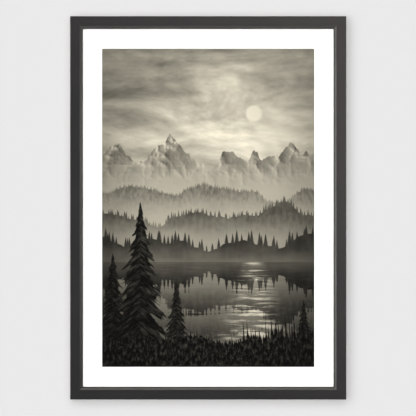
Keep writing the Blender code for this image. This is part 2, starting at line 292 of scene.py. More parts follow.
# %% Set the sheen panels
SHEEN_ANGLE = 66.0             # from the camera's axis
SHEEN_DISTANCE = 1.2
SHEEN_LENGTH = 1.1
SHEEN_WIDTH = 0.5
SHEEN = {                      # watts and the way that each lies from the middle
    "left": (14.2, (-1, 0)),
    "right": (1.6, (1, 0)),
    "above": (8.6, (0, 1)),
    "below": (6.4, (0, -1)),
}
FACE_SHEEN = {                 # for the flat faces: watts and place from the middle
    "face_right": (7.4, Vector((0.75, -0.90, 0.10))),
    "face_above": (2.5, Vector((0.10, -0.90, 0.75))),
}
FACE_SHEEN_SIZE = 0.6
WARM = (1.0, 0.98, 0.89)
WARMER = (1.0, 0.89, 0.83)


def glossy_only(panel):
    panel.visible_diffuse = False
    panel.visible_transmission = False
    panel.data.cycles.use_multiple_importance_sampling = False


def add_sheen_panels():
    out = SHEEN_DISTANCE * math.sin(math.radians(SHEEN_ANGLE))
    ahead = SHEEN_DISTANCE * math.cos(math.radians(SHEEN_ANGLE))
    for name, (watts, (x, z)) in SHEEN.items():
        place = MIDDLE + Vector((x * out, -ahead, z * out))
        tall = x != 0
        panel = add_lamp("sheen_" + name, "AREA", watts, place, shape="RECTANGLE", color=WARM,
                         size=SHEEN_WIDTH if tall else SHEEN_LENGTH,
                         size_y=SHEEN_LENGTH if tall else SHEEN_WIDTH)
        glossy_only(panel)
    for name, (watts, place) in FACE_SHEEN.items():
        panel = add_lamp("sheen_" + name, "AREA", watts, MIDDLE + place, size=FACE_SHEEN_SIZE, color=WARMER)
        glossy_only(panel)


add_sheen_panels()
print("sheen panels:", ", ".join([*SHEEN, *FACE_SHEEN]))

# %% [markdown]
# The world behind it all does two things at once. The camera should see a pale studio, while the
# frame should get only a little light from it. A Light Path node tells the two apart. The Standard
# view transform shows the colours as they are set, so that the white mat can be really white.

# %% Set the world
BACKGROUND = (0.80, 0.80, 0.80, 1.0)
AMBIENT = (0.06, 0.06, 0.06, 1.0)


def set_world():
    world = bpy.data.worlds.new("studio")
    world.use_nodes = True
    tree = world.node_tree
    seen = tree.nodes["Background"]
    seen.inputs["Color"].default_value = BACKGROUND
    felt = add_node(tree, "Background", {"Color": AMBIENT})
    by_camera = add_node(tree, "LightPath").outputs["Is Camera Ray"]
    mixed = add_node(tree, "MixShader", {0: by_camera, 1: felt.outputs[0], 2: seen.outputs[0]})
    tree.links.new(mixed.outputs[0], tree.nodes["World Output"].inputs["Surface"])
    bpy.context.scene.world = world
    bpy.context.scene.view_settings.view_transform = "Standard"


set_world()
print("world set")

# %% [markdown]
# ## Tools for modelling
#
# By hand, a shape is added from a menu and opened in edit mode. The helpers below do so from a script.
# One adds a block between two corners, and one a rod that lies along Y. They deselect everything first,
# because an operator acts on all that is selected. The last one settles a finished piece: its place and
# turn go into its mesh, and its object stays at the origin.

# %% Add, open and settle a piece


def only(piece):
    bpy.ops.object.select_all(action="DESELECT")
    piece.select_set(True)
    bpy.context.view_layer.objects.active = piece


def start_editing(piece):
    only(piece)
    bpy.ops.object.mode_set(mode="EDIT")


def stop_editing():
    bpy.ops.object.mode_set(mode="OBJECT")


def apply_transform():
    bpy.ops.object.transform_apply(location=True, rotation=True, scale=True)


def rod(vertices, radius, depth, location=(0.0, 0.0, 0.0)):
    bpy.ops.object.select_all(action="DESELECT")
    bpy.ops.mesh.primitive_cylinder_add(vertices=vertices, radius=radius, depth=depth, location=location,
                                        rotation=(math.radians(90), 0.0, 0.0))
    return bpy.context.object


def block(name, low, high):
    low, high = Vector(low), Vector(high)
    bpy.ops.object.select_all(action="DESELECT")
    bpy.ops.mesh.primitive_cube_add(size=1.0, location=(low + high) / 2)
    piece = bpy.context.object
    piece.name = name
    piece.scale = high - low
    apply_transform()
    return piece


def settle(piece, location=(0.0, 0.0, 0.0), turn_degrees=0.0):
    only(piece)
    piece.location = location
    piece.rotation_euler = (0.0, math.radians(turn_degrees), 0.0)
    apply_transform()
    return piece


print("pieces can be added, opened and settled")

# %% [markdown]
# Blender's edit mode works on what is selected. By hand that is a click, and in a script it is a test:
# take every face whose middle lies here, or whose normal points there. What has been picked can then be
# sliced by a plane, pushed to another place, or pulled out so that new faces follow it.

# %% Pick, slice, push and pull out
TINY = 0.00001
FACING = 0.9                   # the least cosine at which a face or an edge counts as looking some way


def pick(kind, test):
    # kind is verts, edges or faces. The test gets the middle, and for a vertex or a face its normal
    bpy.ops.mesh.select_mode(type={"verts": "VERT", "edges": "EDGE", "faces": "FACE"}[kind])
    bpy.ops.mesh.select_all(action="DESELECT")
    mesh = bpy.context.object.data
    shape = bmesh.from_edit_mesh(mesh)
    count = 0
    for part in getattr(shape, kind):
        if kind == "edges":
            ends = [vert.co for vert in part.verts]
            chosen = test((ends[0] + ends[1]) / 2, (ends[1] - ends[0]).normalized())
        else:
            middle = part.co if kind == "verts" else part.calc_center_median()
            chosen = test(middle, part.normal)
        if chosen:
            part.select_set(True)
            count += 1
    shape.select_flush_mode()
    bmesh.update_edit_mesh(mesh)
    return count


def slice_at(point, direction, cut_off=False):
    # Cuts what is picked by a plane. With cut_off, what lies on the direction's side goes
    bpy.ops.mesh.bisect(plane_co=point, plane_no=direction, use_fill=cut_off, clear_outer=cut_off)


def push(x=0.0, y=0.0, z=0.0):
    bpy.ops.transform.translate(value=(x, y, z))


def pull_out(x=0.0, y=0.0, z=0.0):
    bpy.ops.mesh.extrude_region_move(TRANSFORM_OT_translate={"value": (x, y, z)})


print("modelling tools ready")

# %% [markdown]
# A drilled hole or a slot is made with a Boolean modifier: a second shape is taken away from the first.
# Afterwards the shading needs one more step. Smooth shading blends the normals of neighbouring faces,
# and a narrow rounding would then bend the light on the big flat face beside it. The Weighted Normal
# modifier lets the big face win, so that flats look flat and only the roundings shine.

# %% Cut away and smooth
SMOOTH_BELOW = math.radians(35)
ROUND_ABOVE = math.radians(40)


def apply_modifiers(piece):
    only(piece)
    for modifier in list(piece.modifiers):
        bpy.ops.object.modifier_apply(modifier=modifier.name)


def cut_away(piece, cutter):
    boolean = piece.modifiers.new("cut", "BOOLEAN")
    boolean.operation = "DIFFERENCE"
    boolean.solver = "EXACT"
    boolean.object = cutter
    apply_modifiers(piece)
    bpy.data.objects.remove(cutter, do_unlink=True)


def round_edges(piece, width, segments):
    bevel = piece.modifiers.new("rounding", "BEVEL")
    bevel.width = width
    bevel.segments = segments
    bevel.limit_method = "ANGLE"
    bevel.angle_limit = ROUND_ABOVE
    apply_modifiers(piece)


def smooth(piece):
    only(piece)
    bpy.ops.object.shade_smooth_by_angle(angle=SMOOTH_BELOW)
    weighted = piece.modifiers.new("flats_win", "WEIGHTED_NORMAL")
    weighted.keep_sharp = True
    apply_modifiers(piece)


print("cutting and smoothing ready")

# %% [markdown]
# ## The moulding
#
# A framer buys moulding by the length. It starts as a board the thickness of the lip. The wall that
# hides the glass, the mat and the boards is pulled back out of it, which leaves the rebate open. Then
# the front is scored lengthwise in three places, and the strips beyond are pushed down: that gives the
# bevel, the little upright step under it and the low strip at the sight edge. The section could also
# be drawn as a curve and swept, but slicing and pushing a block keeps every face flat and in its place.

# %% Shape the stick
QUIRK_LEAN = 0.00005           # the upright step leans by this much
BEVEL_END = FACE_WIDTH + BEVEL_WIDTH
TREAD = BEVEL_DROP + QUIRK_DROP


def shape_stick(name, length, reach):
    # Drawn as a top side: x along it, y back from the front, and its outer edge at z = reach
    stick = block(name, (-length / 2, 0.0, reach - RAIL_WIDTH), (length / 2, LIP_BACK, reach))
    start_editing(stick)
    pick("faces", lambda middle, normal: normal.y > FACING)
    slice_at((0.0, 0.0, reach - WALL_WIDTH), (0.0, 0.0, 1.0))
    pick("faces", lambda middle, normal: normal.y > FACING and middle.z > reach - WALL_WIDTH)
    pull_out(y=RAIL_DEPTH - LIP_BACK)
    for inwards in (FACE_WIDTH, BEVEL_END, BEVEL_END + QUIRK_LEAN):
        pick("faces", lambda middle, normal: normal.y < -FACING)
        slice_at((0.0, 0.0, reach - inwards), (0.0, 0.0, 1.0))
    for inwards, drop in ((BEVEL_END, BEVEL_DROP), (BEVEL_END + QUIRK_LEAN, QUIRK_DROP)):
        pick("verts", lambda middle, normal: middle.y < TREAD and middle.z < reach - inwards + TINY)
        push(y=drop)
    stop_editing()
    return stick


trial = shape_stick("trial_stick", 0.1, 0.05)
print("the stick has", len(trial.data.polygons), "faces before rounding")
bpy.data.objects.remove(trial, do_unlink=True)

# %% [markdown]
# No edge of a painted moulding is sharp. The outer front edge has a rounding of a millimetre, the
# sight edge half of that, and the rest only what sandpaper and paint leave. Each long edge is found by
# where it runs in the section, and beveled by its own amount.

# %% Round the long edges
ROUNDINGS = (                  # in from the outer edge, back from the front, radius, segments
    (0.0, 0.0, 0.0010, 6),
    (FACE_WIDTH, 0.0, 0.0004, 4),
    (BEVEL_END, BEVEL_DROP, 0.00012, 2),
    (RAIL_WIDTH, TREAD, 0.0005, 4),
    (RAIL_WIDTH, LIP_BACK, 0.0002, 2),
    (WALL_WIDTH, RAIL_DEPTH, 0.0003, 2),
    (0.0, RAIL_DEPTH, 0.0005, 3),
)


def round_long_edges(stick, reach):
    start_editing(stick)
    for inwards, back, radius, segments in ROUNDINGS:
        line = Vector((0.0, back, reach - inwards))

        def on_line(middle, way):
            return abs(way.x) > FACING and abs(middle.y - line.y) < TINY and abs(middle.z - line.z) < TINY

        pick("edges", on_line)
        bpy.ops.mesh.bevel(offset=radius, segments=segments, affect="EDGES")
    stop_editing()


print(len(ROUNDINGS), "long edges are rounded")

# %% [markdown]
# ## Mitres
#
# At each corner the moulding is sawn at 45 degrees, and the two cuts are glued and drawn together. In
# Blender the saw is Bisect: a plane through the corner, with what lies beyond it cleared and the cut
# face filled. A twentieth of a millimetre is left open, as a joint that has been wiped clean shows.

# %% Saw the mitres
JOINT_GAP = 0.00005


def saw_mitres(stick, length, reach):
    play = JOINT_GAP / 2 * math.sqrt(2)
    start_editing(stick)
    for way in (-1, 1):
        bpy.ops.mesh.select_all(action="SELECT")
        slice_at((way * (length / 2 - play), 0.0, reach), (way, 0.0, -1.0), cut_off=True)
    stop_editing()


print("mitre saw ready")

# %% [markdown]
# ## Nail slots and screw holes
#
# V nails are pressed across each mitre from behind, and screws go into the back of the rails. Both
# would vanish inside the wood if it had no slots and holes for them. The nails' own boxes in the
# loaded model say where the two leaves of each V lie: the point of the V looks to the frame's middle.

# %% Cut the slots and drill the holes
NAIL_THICKNESS = 0.0008
NAIL_PLAY = 0.00005
DRILL_RADIUS = 0.0016
DRILL_LENGTH = 0.0100


def cut_nail_slots(rail, corner):
    low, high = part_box("corner_nail_" + corner)
    deep = low.y - NAIL_PLAY
    out = BACK + NAIL_THICKNESS
    inner_x, outer_x = (low.x, high.x) if high.x > MIDDLE.x else (high.x, low.x)
    inner_z, outer_z = (low.z, high.z) if high.z > MIDDLE.z else (high.z, low.z)
    leaf_x = inner_x + math.copysign(NAIL_THICKNESS, outer_x - inner_x)
    leaf_z = inner_z + math.copysign(NAIL_THICKNESS, outer_z - inner_z)
    for far_x, far_z in ((outer_x, leaf_z), (leaf_x, outer_z)):
        corner_low = Vector((min(inner_x, far_x), deep, min(inner_z, far_z)))
        corner_high = Vector((max(inner_x, far_x), out, max(inner_z, far_z)))
        play = Vector((NAIL_PLAY, 0.0, NAIL_PLAY))
        cut_away(rail, block("leaf_slot", corner_low - play, corner_high + play))


def drill(rail, x, z):
    cut_away(rail, rod(24, DRILL_RADIUS, 2 * DRILL_LENGTH, (x, BACK, z)))


print("slots and holes ready")

# %% [markdown]
# ## The four sides
#
# Top and bottom are alike, and so are left and right, so one function makes all four: it shapes a
# stick, rounds it, saws it, turns it to its side and lets it take the place of the plain one. The
# record's joints say where the turn buttons pivot, and that is where their screws go in.

# %% Make the four rails
SIDES = {                      # degrees about Y from the top side, and the corners at its ends
    "top": (0.0, ("top_left", "top_right")),
    "right": (90.0, ("top_right", "bottom_right")),
    "bottom": (180.0, ("bottom_right", "bottom_left")),
    "left": (-90.0, ("bottom_left", "top_left")),
}
PIVOTS = {joint["name"].removeprefix("swivel_"): Vector(joint["pos_m"]) for joint in frame["joints"]}


def centre_of(node):
    low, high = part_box(node)
    return (low + high) / 2


def make_rail(side):
    turn_degrees, corners = SIDES[side]
    upright = side in ("left", "right")
    length, reach = (OUTER_HEIGHT, OUTER_WIDTH / 2) if upright else (OUTER_WIDTH, OUTER_HEIGHT / 2)
    rail = shape_stick("rail_" + side, length, reach)
    round_long_edges(rail, reach)
    saw_mitres(rail, length, reach)
    settle(rail, MIDDLE, turn_degrees)
    for corner in corners:
        cut_nail_slots(rail, corner)
    holes = [pivot for spot, pivot in PIVOTS.items() if spot.startswith(side)]
    if side == "top":
        holes += [centre_of("hanger_screw_left"), centre_of("hanger_screw_right")]
    for hole in holes:
        drill(rail, hole.x, hole.z)
    smooth(rail)
    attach(rail, "frame")
    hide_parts("frame_" + side)
    return rail


rails = {side: make_rail(side) for side in SIDES}
for side, rail in rails.items():
    print(side, "rail:", len(rail.data.polygons), "faces")

# %% [markdown]
# ## Screws
#
# The small pan head screws are turned from wire, and a cross recess is pressed into them. The recess
# will be cut by a cross that narrows to its bottom, as the driver's tip does. A thin square post is the
# cross's middle, and an arm is pulled out of each of its sides.

# %% Make the cross for the recess
HEAD_HEIGHT = 0.0015
RECESS_ARM = 0.0017            # from the middle to an arm's end
RECESS_WIDTH = 0.0007
RECESS_DEPTH = 0.0010
RECESS_NARROWS = 0.55          # width at the bottom as a share of the top's


def recess_cutter():
    half = RECESS_WIDTH / 2
    cross = block("recess", (-half, HEAD_HEIGHT - RECESS_DEPTH, -half), (half, 2 * HEAD_HEIGHT, half))
    start_editing(cross)
    for x, z in ((1, 0), (-1, 0), (0, 1), (0, -1)):
        pick("faces", lambda middle, normal: normal.x * x + normal.z * z > FACING
             and abs(middle.x * z + middle.z * x) < TINY)
        pull_out(x=x * (RECESS_ARM - half), z=z * (RECESS_ARM - half))
    pick("verts", lambda middle, normal: middle.y < HEAD_HEIGHT)
    bpy.ops.transform.resize(value=(RECESS_NARROWS, 1.0, RECESS_NARROWS),
                             center_override=(0.0, HEAD_HEIGHT - RECESS_DEPTH, 0.0))
    stop_editing()
    return cross


trial = recess_cutter()
print("the cross has", len(trial.data.polygons), "faces")
bpy.data.objects.remove(trial, do_unlink=True)

# %% [markdown]
# A cylinder gives the screw's head, and one wide bevel gives it the pan shape. An inset on its underside
# starts the shank, which is pulled out, and pulled out once more and shrunk to a point. Turning a
# profile with Spin would do as well, but the cylinder is already round.

# %% Turn one screw
HEAD_RADIUS = 0.0032
HEAD_ROUND = 0.0011
SHANK_RADIUS = 0.0015
SHANK_LENGTH = 0.0088
TIP_LENGTH = 0.0022
TIP_WIDTH = 0.08               # width of the point as a share of the shank's


def turn_screw():
    # Points along -Y, with the underside of its head at y = 0
    screw = rod(48, HEAD_RADIUS, HEAD_HEIGHT, (0.0, HEAD_HEIGHT / 2, 0.0))
    apply_transform()
    start_editing(screw)
    pick("edges", lambda middle, way: middle.y > HEAD_HEIGHT - TINY)
    bpy.ops.mesh.bevel(offset=HEAD_ROUND, segments=8, affect="EDGES")
    pick("faces", lambda middle, normal: normal.y < -FACING)
    bpy.ops.mesh.inset(thickness=HEAD_RADIUS - SHANK_RADIUS)
    pull_out(y=TIP_LENGTH - SHANK_LENGTH)
    pull_out(y=-TIP_LENGTH)
    bpy.ops.transform.resize(value=(TIP_WIDTH, 1.0, TIP_WIDTH), center_override=(0.0, -SHANK_LENGTH, 0.0))
    stop_editing()
    cut_away(screw, recess_cutter())
    smooth(screw)
    return screw


first_screw = turn_screw()
print("one screw:", len(first_screw.data.polygons), "faces")

# %% [markdown]
# One screw is enough to model. The others are copies, each with its own mesh and turned a little
# differently, because nobody lines up the crosses of ten screws.

# %% Copy the screw to its ten places
SCREW_TURN = 37.0              # degrees from each screw to the next


def copy_to(master, name, location, turn_degrees):
    twin = master.copy()
    twin.data = master.data.copy()
    twin.name = name
    bpy.context.scene.collection.objects.link(twin)
    return settle(twin, location, turn_degrees)


def place_screws(master):
    screws = []
    places = ["button_screw_" + spot for spot in PIVOTS] + ["hanger_screw_left", "hanger_screw_right"]
    for count, node in enumerate(places):
        head = centre_of(node)
        head.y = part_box(node)[1].y - HEAD_HEIGHT
        screw = copy_to(master, node.replace("screw", "pin"), head, SCREW_TURN * count)
        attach(screw, "frame")
        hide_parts(node)
        screws.append(screw)
    bpy.data.objects.remove(master, do_unlink=True)
    return screws


screws = place_screws(first_screw)
print(len(screws), "screws in place")

# %% [markdown]
# ## Turn buttons
#
# A turn button is stamped from strip: two round ends, the one at the screw a little larger, with
# straight sides between them. A circle is a good start. Its lower half is pushed down to the tongue's
# end and shrunk a little, which stretches the circle into the outline. The sheet is then pulled out to
# its thickness.

# %% Stamp one turn button
BUTTON_THICKNESS = 0.0012
PIVOT_RADIUS = 0.0050
TONGUE_RADIUS = 0.0040
TONGUE_REACH = 0.0130


def stamp_button():
    # Pivots at the origin, with its tongue hanging down and its outer face at y = BUTTON_THICKNESS
    bpy.ops.object.select_all(action="DESELECT")
    bpy.ops.mesh.primitive_circle_add(vertices=64, radius=PIVOT_RADIUS, fill_type="NGON",
                                      rotation=(math.radians(90), 0.0, 0.0))
    button = bpy.context.object
    apply_transform()
    start_editing(button)
    pick("verts", lambda middle, normal: middle.z < -TINY)
    push(z=-TONGUE_REACH)
    share = TONGUE_RADIUS / PIVOT_RADIUS
    bpy.ops.transform.resize(value=(share, 1.0, share), center_override=(0.0, 0.0, -TONGUE_REACH))
    bpy.ops.mesh.select_all(action="SELECT")
    pull_out(y=BUTTON_THICKNESS)
    bpy.ops.mesh.select_all(action="SELECT")
    bpy.ops.mesh.normals_make_consistent(inside=False)
    stop_editing()
    return button


blank = stamp_button()
print("the blank:", len(blank.data.polygons), "faces")

# %% [markdown]
# The press also leaves a shallow hollow in the tongue, which stiffens it. An inset gives its outline,
# and a second inset sinks it. Then the hole for the screw is drilled, and the stamped edges are rounded.

# %% Press, drill and round the button
BUTTON_ROUND = 0.00025
DIMPLE_INSET = 0.0016
DIMPLE_DEPTH = 0.00035


def finish_button(button):
    start_editing(button)
    pick("faces", lambda middle, normal: normal.y > FACING)
    slice_at((0.0, 0.0, -PIVOT_RADIUS), (0.0, 0.0, 1.0))
    pick("faces", lambda middle, normal: normal.y > FACING and middle.z < -PIVOT_RADIUS)
    bpy.ops.mesh.inset(thickness=DIMPLE_INSET)
    bpy.ops.mesh.inset(thickness=DIMPLE_DEPTH, depth=-DIMPLE_DEPTH)
    stop_editing()
    cut_away(button, rod(32, DRILL_RADIUS, 4 * BUTTON_THICKNESS))
    round_edges(button, BUTTON_ROUND, 3)
    smooth(button)
    return button


first_button = finish_button(blank)
print("one turn button:", len(first_button.data.polygons), "faces")

# %% [markdown]
# Each button rides on a body of its own, so that it can swivel on its screw. The record's joints give
# the pivots, and the side that a button sits on says how far it is turned from the top side's.

# %% Place the turn buttons


def place_buttons(master):
    buttons = []
    for spot, pivot in PIVOTS.items():
        node = "turn_button_" + spot
        seat = Vector((pivot.x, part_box(node)[0].y, pivot.z))
        button = copy_to(master, "button_plate_" + spot, seat, SIDES[spot.split("_")[0]][0])
        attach(button, "button_" + spot)
        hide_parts(node)
        buttons.append(button)
    bpy.data.objects.remove(master, do_unlink=True)
    return buttons


buttons = place_buttons(first_button)
print(len(buttons), "turn buttons in place")

# %% [markdown]
# ## The sawtooth hanger
#
# The hanger is a steel strip with teeth along its lower edge, so that the frame can be moved sideways
# by a notch until it hangs level. It starts as a thin block. Bisect scores it across at each tooth and
# notch, and the points between are pulled down. Its middle is then pushed out from the wall side by
# two millimetres, which makes the bridge that the nail's head passes behind.

# %% Press the hanger
HANGER_LENGTH = 0.064          # between the centres of its two round ends
HANGER_TOP = 0.0080
HANGER_THICKNESS = 0.0010
HANGER_RISE = 0.0020
FOOT_LENGTH = 0.0085
BEND_LENGTH = 0.0025
TOOTH_PITCH = 0.0030
TOOTH_DEPTH = 0.0012
NOTCHES_EACH_SIDE = 6
HANGER_END_RADIUS = (HANGER_TOP + TOOTH_DEPTH) / 2
HANGER_ROUND = 0.00018


def cut_teeth(strip):
    # The strip's lower edge lies at the notches, and its points are pulled down from there
    half_steps = 2 * NOTCHES_EACH_SIDE + 1
    start_editing(strip)
    for half_step in range(-half_steps - 1, half_steps + 2):
        pick("faces", lambda middle, normal: normal.z < -FACING)
        slice_at((half_step * TOOTH_PITCH / 2, 0.0, 0.0), (1.0, 0.0, 0.0))

    def is_point(middle, normal):
        half_step = round(middle.x / (TOOTH_PITCH / 2))
        on_step = abs(middle.x - half_step * TOOTH_PITCH / 2) < TINY
        beyond = abs(middle.x) > half_steps * TOOTH_PITCH / 2 + TINY
        return middle.z < TINY and (beyond or (on_step and half_step % 2))

    pick("verts", is_point)
    push(z=-TOOTH_DEPTH)
    stop_editing()


strip_end = HANGER_LENGTH / 2 + HANGER_END_RADIUS
trial = block("trial_strip", (-strip_end, 0.0, 0.0), (strip_end, HANGER_THICKNESS, HANGER_TOP))
cut_teeth(trial)
print("the toothed strip has", len(trial.data.vertices), "vertices")
bpy.data.objects.remove(trial, do_unlink=True)

# %% [markdown]
# The round ends are one more bevel, on the four upright corners of the strip. The bends come last,
# because a bevel on a bent strip would twist: the strip is sliced where each bend starts and ends, and
# everything between the inner lines is pushed out.

# %% Round, bend and hang the hanger


def make_hanger():
    strip = block("hanger_plate", (-strip_end, 0.0, 0.0), (strip_end, HANGER_THICKNESS, HANGER_TOP))
    cut_teeth(strip)
    start_editing(strip)
    pick("edges", lambda middle, way: abs(way.y) > FACING and abs(middle.x) > strip_end - TINY)
    bpy.ops.mesh.bevel(offset=HANGER_END_RADIUS - TINY, segments=10, affect="EDGES")
    foot_end = HANGER_LENGTH / 2 - FOOT_LENGTH
    bridge_end = foot_end - BEND_LENGTH
    for x in (-foot_end, -bridge_end, bridge_end, foot_end):
        bpy.ops.mesh.select_all(action="SELECT")
        slice_at((x, 0.0, 0.0), (1.0, 0.0, 0.0))
    pick("verts", lambda middle, normal: abs(middle.x) < bridge_end + TINY)
    push(y=HANGER_RISE)
    stop_editing()
    settle(strip, (0.0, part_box("sawtooth_hanger")[0].y, 0.0))
    for node in ("hanger_screw_left", "hanger_screw_right"):
        drill(strip, centre_of(node).x, centre_of(node).z)
    round_edges(strip, HANGER_ROUND, 2)
    smooth(strip)
    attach(strip, "frame")
    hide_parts("sawtooth_hanger")
    return strip


hanger = make_hanger()
print("hanger:", len(hanger.data.polygons), "faces")

# %% [markdown]
# ## Bumpers
#
# Two rubber pads keep the lower edge off the wall, so that the frame hangs upright. They are moulded,
# with a rounded rim and a shallow ring where the mould closed.

# %% Mould the bumpers
BUMPER_RADIUS = 0.0060
BUMPER_ROUND = 0.0009
BUMPER_FOOT_ROUND = 0.0002
RING_INSET = 0.0012
RING_DEPTH = 0.00015


def make_bumper(name, node):
    low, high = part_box(node)
    pad = rod(64, BUMPER_RADIUS, high.y - low.y, centre_of(node))
    pad.name = name
    apply_transform()
    start_editing(pad)
    pick("edges", lambda middle, way: middle.y > high.y - TINY)
    bpy.ops.mesh.bevel(offset=BUMPER_ROUND, segments=6, affect="EDGES")
    pick("faces", lambda middle, normal: normal.y > FACING and middle.y > high.y - TINY)
    for inset, depth in ((RING_INSET, 0.0), (RING_DEPTH, -RING_DEPTH), (2 * RING_DEPTH, 0.0),
                         (RING_DEPTH, RING_DEPTH)):
        bpy.ops.mesh.inset(thickness=inset, depth=depth)
    pick("edges", lambda middle, way: middle.y < low.y + TINY)
    bpy.ops.mesh.bevel(offset=BUMPER_FOOT_ROUND, segments=2, affect="EDGES")
    stop_editing()
    smooth(pad)
    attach(pad, "frame")
    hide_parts(node)
    return pad


pads = [make_bumper("pad_" + half, "bumper_" + half) for half in ("left", "right")]
print(len(pads), "bumpers,", len(pads[0].data.polygons), "faces each")

# %% [markdown]
# ## Node groups
#
# An effect that more than one material shows, such as grain, is built once as a node group and then
# placed in each material. It has named inputs and outputs, and puts out masks and heights, while the
# shader stays in the material. Most of these effects are noise, so two more helpers add a Noise texture
# and spread a part of its range over 0 to 1.

# %% Start and place a group


def start_group(name, inputs, outputs):
    group = bpy.data.node_groups.new(name, "ShaderNodeTree")
    for sockets, way in ((inputs, "INPUT"), (outputs, "OUTPUT")):
        for socket, kind in sockets.items():
            group.interface.new_socket(name=socket, in_out=way, socket_type="NodeSocket" + kind)
    given = group.nodes.new("NodeGroupInput").outputs
    wanted = group.nodes.new("NodeGroupOutput")
    return group, given, wanted


def use_group(tree, group, inputs):
    placed = add_node(tree, "Group", node_tree=group)
    fill(tree, placed, inputs)
    return placed.outputs


def noise(tree, place, scale, detail, roughness=0.5, distortion=0.0):
    return add_node(tree, "TexNoise", {"Vector": place, "Scale": scale, "Detail": detail,
                                       "Roughness": roughness, "Distortion": distortion}).outputs["Fac"]


def ramp(tree, value, start, end):
    # From 0 at the start to 1 at the end, whichever of the two is higher
    return add_node(tree, "MapRange", {"Value": value, "From Min": start, "From Max": end}).outputs["Result"]


print("group helpers ready")

# %% [markdown]
# ## Grain
#
# The painted front and the bare back of the moulding are the same wood, so both read the same grain.
# Grain is noise that has been stretched along the rail: long soft streaks for the growth rings, and
# short fine dashes for the pores.

# %% Build the grain group
STREAK_LENGTH = 0.060
STREAK_WIDTH = 0.0016
PORE_LENGTH = 0.0045
PORE_WIDTH = 0.00022
PORE_EDGE = (0.56, 0.68)       # the noise between which a pore begins and is at its darkest


def stretched_noise(tree, place, length, width, detail):
    # Noise whose specks are this long along X and this wide across it
    scaled = add_node(tree, "VectorMath", {0: place, 1: (1 / length, 1 / width, 1 / width)},
                      operation="MULTIPLY").outputs[0]
    return noise(tree, scaled, 1.0, detail, 0.6)


def build_grain():
    tree, given, wanted = start_group("grain", {"Along": "Vector"}, {"Streaks": "Float", "Pores": "Float"})
    streaks = stretched_noise(tree, given["Along"], STREAK_LENGTH, STREAK_WIDTH, 4.0)
    pores = stretched_noise(tree, given["Along"], PORE_LENGTH, PORE_WIDTH, 1.0)
    fill(tree, wanted, {"Streaks": streaks, "Pores": ramp(tree, pores, *PORE_EDGE)})
    return tree


grain = build_grain()
print("grain group:", len(grain.nodes), "nodes")

# %% [markdown]
# Where a hand or a cloth has passed, even a clean surface has soft patches that shine a little more or
# less. That effect is a group too, and the paint, the wood, the glass, the metal, the back board and the
# rubber all use it.

# %% Build the handling group
SPECKS_TO_A_PATCH = 40.0
PATCH_EDGE = (0.3, 0.7)        # the noise between which a patch begins and is at its strongest


def build_handling():
    # Soft patches of a given size, from 0 to 1, with fine specks on them
    tree, given, wanted = start_group("handling", {"Place": "Vector", "Size": "Float"},
                                      {"Patches": "Float", "Specks": "Float"})
    scale = calc(tree, "DIVIDE", 1.0, given["Size"])
    patches = noise(tree, given["Place"], scale, 5.0, 0.55)
    specks = noise(tree, given["Place"], calc(tree, "MULTIPLY", scale, SPECKS_TO_A_PATCH), 2.0)
    fill(tree, wanted, {"Patches": ramp(tree, patches, *PATCH_EDGE), "Specks": specks})
    return tree


handling = build_handling()


def touched_by_hand(tree, place, size):
    marks = use_group(tree, handling, {"Place": place, "Size": size})
    return marks["Patches"], marks["Specks"]


print("handling group:", len(handling.nodes), "nodes")

# %% [markdown]
# ## Black paint
#
# The moulding is sprayed a satin black that is really a very dark grey. The paint follows the wood's
# pores a little, so its bump comes from the grain, and its gloss wanders by a few hundredths. Grain runs
# along each rail. The upright rails therefore need the pattern turned, and a Mapping node does that.

# %% Make the black paint
PAINT_DARK = (0.0071, 0.0070, 0.0075, 1.0)
PAINT_LIGHT = (0.0096, 0.0095, 0.0101, 1.0)
PAINT_PATCH = 0.05
PAINT_IN_STREAKS = (0.1, 0.8)  # the light tone's share beside a streak, and how much more is in one
PAINT_ROUGHNESS = 0.37
PAINT_WANDER = 0.06            # how much rougher it gets in a patch
SPECK_HEIGHT = 0.5             # as a share of a pore's depth
PAINT_BUMP = (0.25, 0.00006)   # of every bump: its strength and its depth


def object_place(tree):
    return add_node(tree, "TexCoord").outputs["Object"]


def along_rail(tree, upright):
    turn = (0.0, math.radians(90), 0.0) if upright else (0.0, 0.0, 0.0)
    return add_node(tree, "Mapping", {"Vector": object_place(tree), "Rotation": turn}).outputs[0]


def mix_colour(tree, share, first, second, blend="MIX"):
    mixed = add_node(tree, "Mix", {0: share, 6: first, 7: second}, data_type="RGBA", blend_type=blend)
    return mixed.outputs[2]


def add_share(tree, base, value, strength):
    return calc(tree, "MULTIPLY_ADD", value, strength, base)


def bump(tree, height, strength, depth):
    return add_node(tree, "Bump", {"Height": height, "Strength": strength, "Distance": depth}).outputs[0]


def black_paint(name, upright):
    material, tree, shader = new_material(name)
    along = along_rail(tree, upright)
    wood = use_group(tree, grain, {"Along": along})
    patches, specks = touched_by_hand(tree, along, PAINT_PATCH)
    tone = add_share(tree, PAINT_IN_STREAKS[0], wood["Streaks"], PAINT_IN_STREAKS[1])
    height = calc(tree, "SUBTRACT", calc(tree, "MULTIPLY", specks, SPECK_HEIGHT), wood["Pores"])
    fill(tree, shader, {"Base Color": mix_colour(tree, tone, PAINT_DARK, PAINT_LIGHT),
                        "Roughness": add_share(tree, PAINT_ROUGHNESS, patches, PAINT_WANDER),
                        "Normal": bump(tree, height, *PAINT_BUMP)})
    return material


paint_level = black_paint("black_paint_level", False)
paint_upright = black_paint("black_paint_upright", True)
print("black paint:", len(paint_level.node_tree.nodes), "nodes")

# %% [markdown]
# ## Bare wood
#
# Nobody paints the back of a moulding. It shows pale wood with the grain along it, and a ragged dark
# rim where the spray came round the edge. The rim is worked out from the distance to the nearest
# outside edge, with noise added so that it isn't a ruled line.

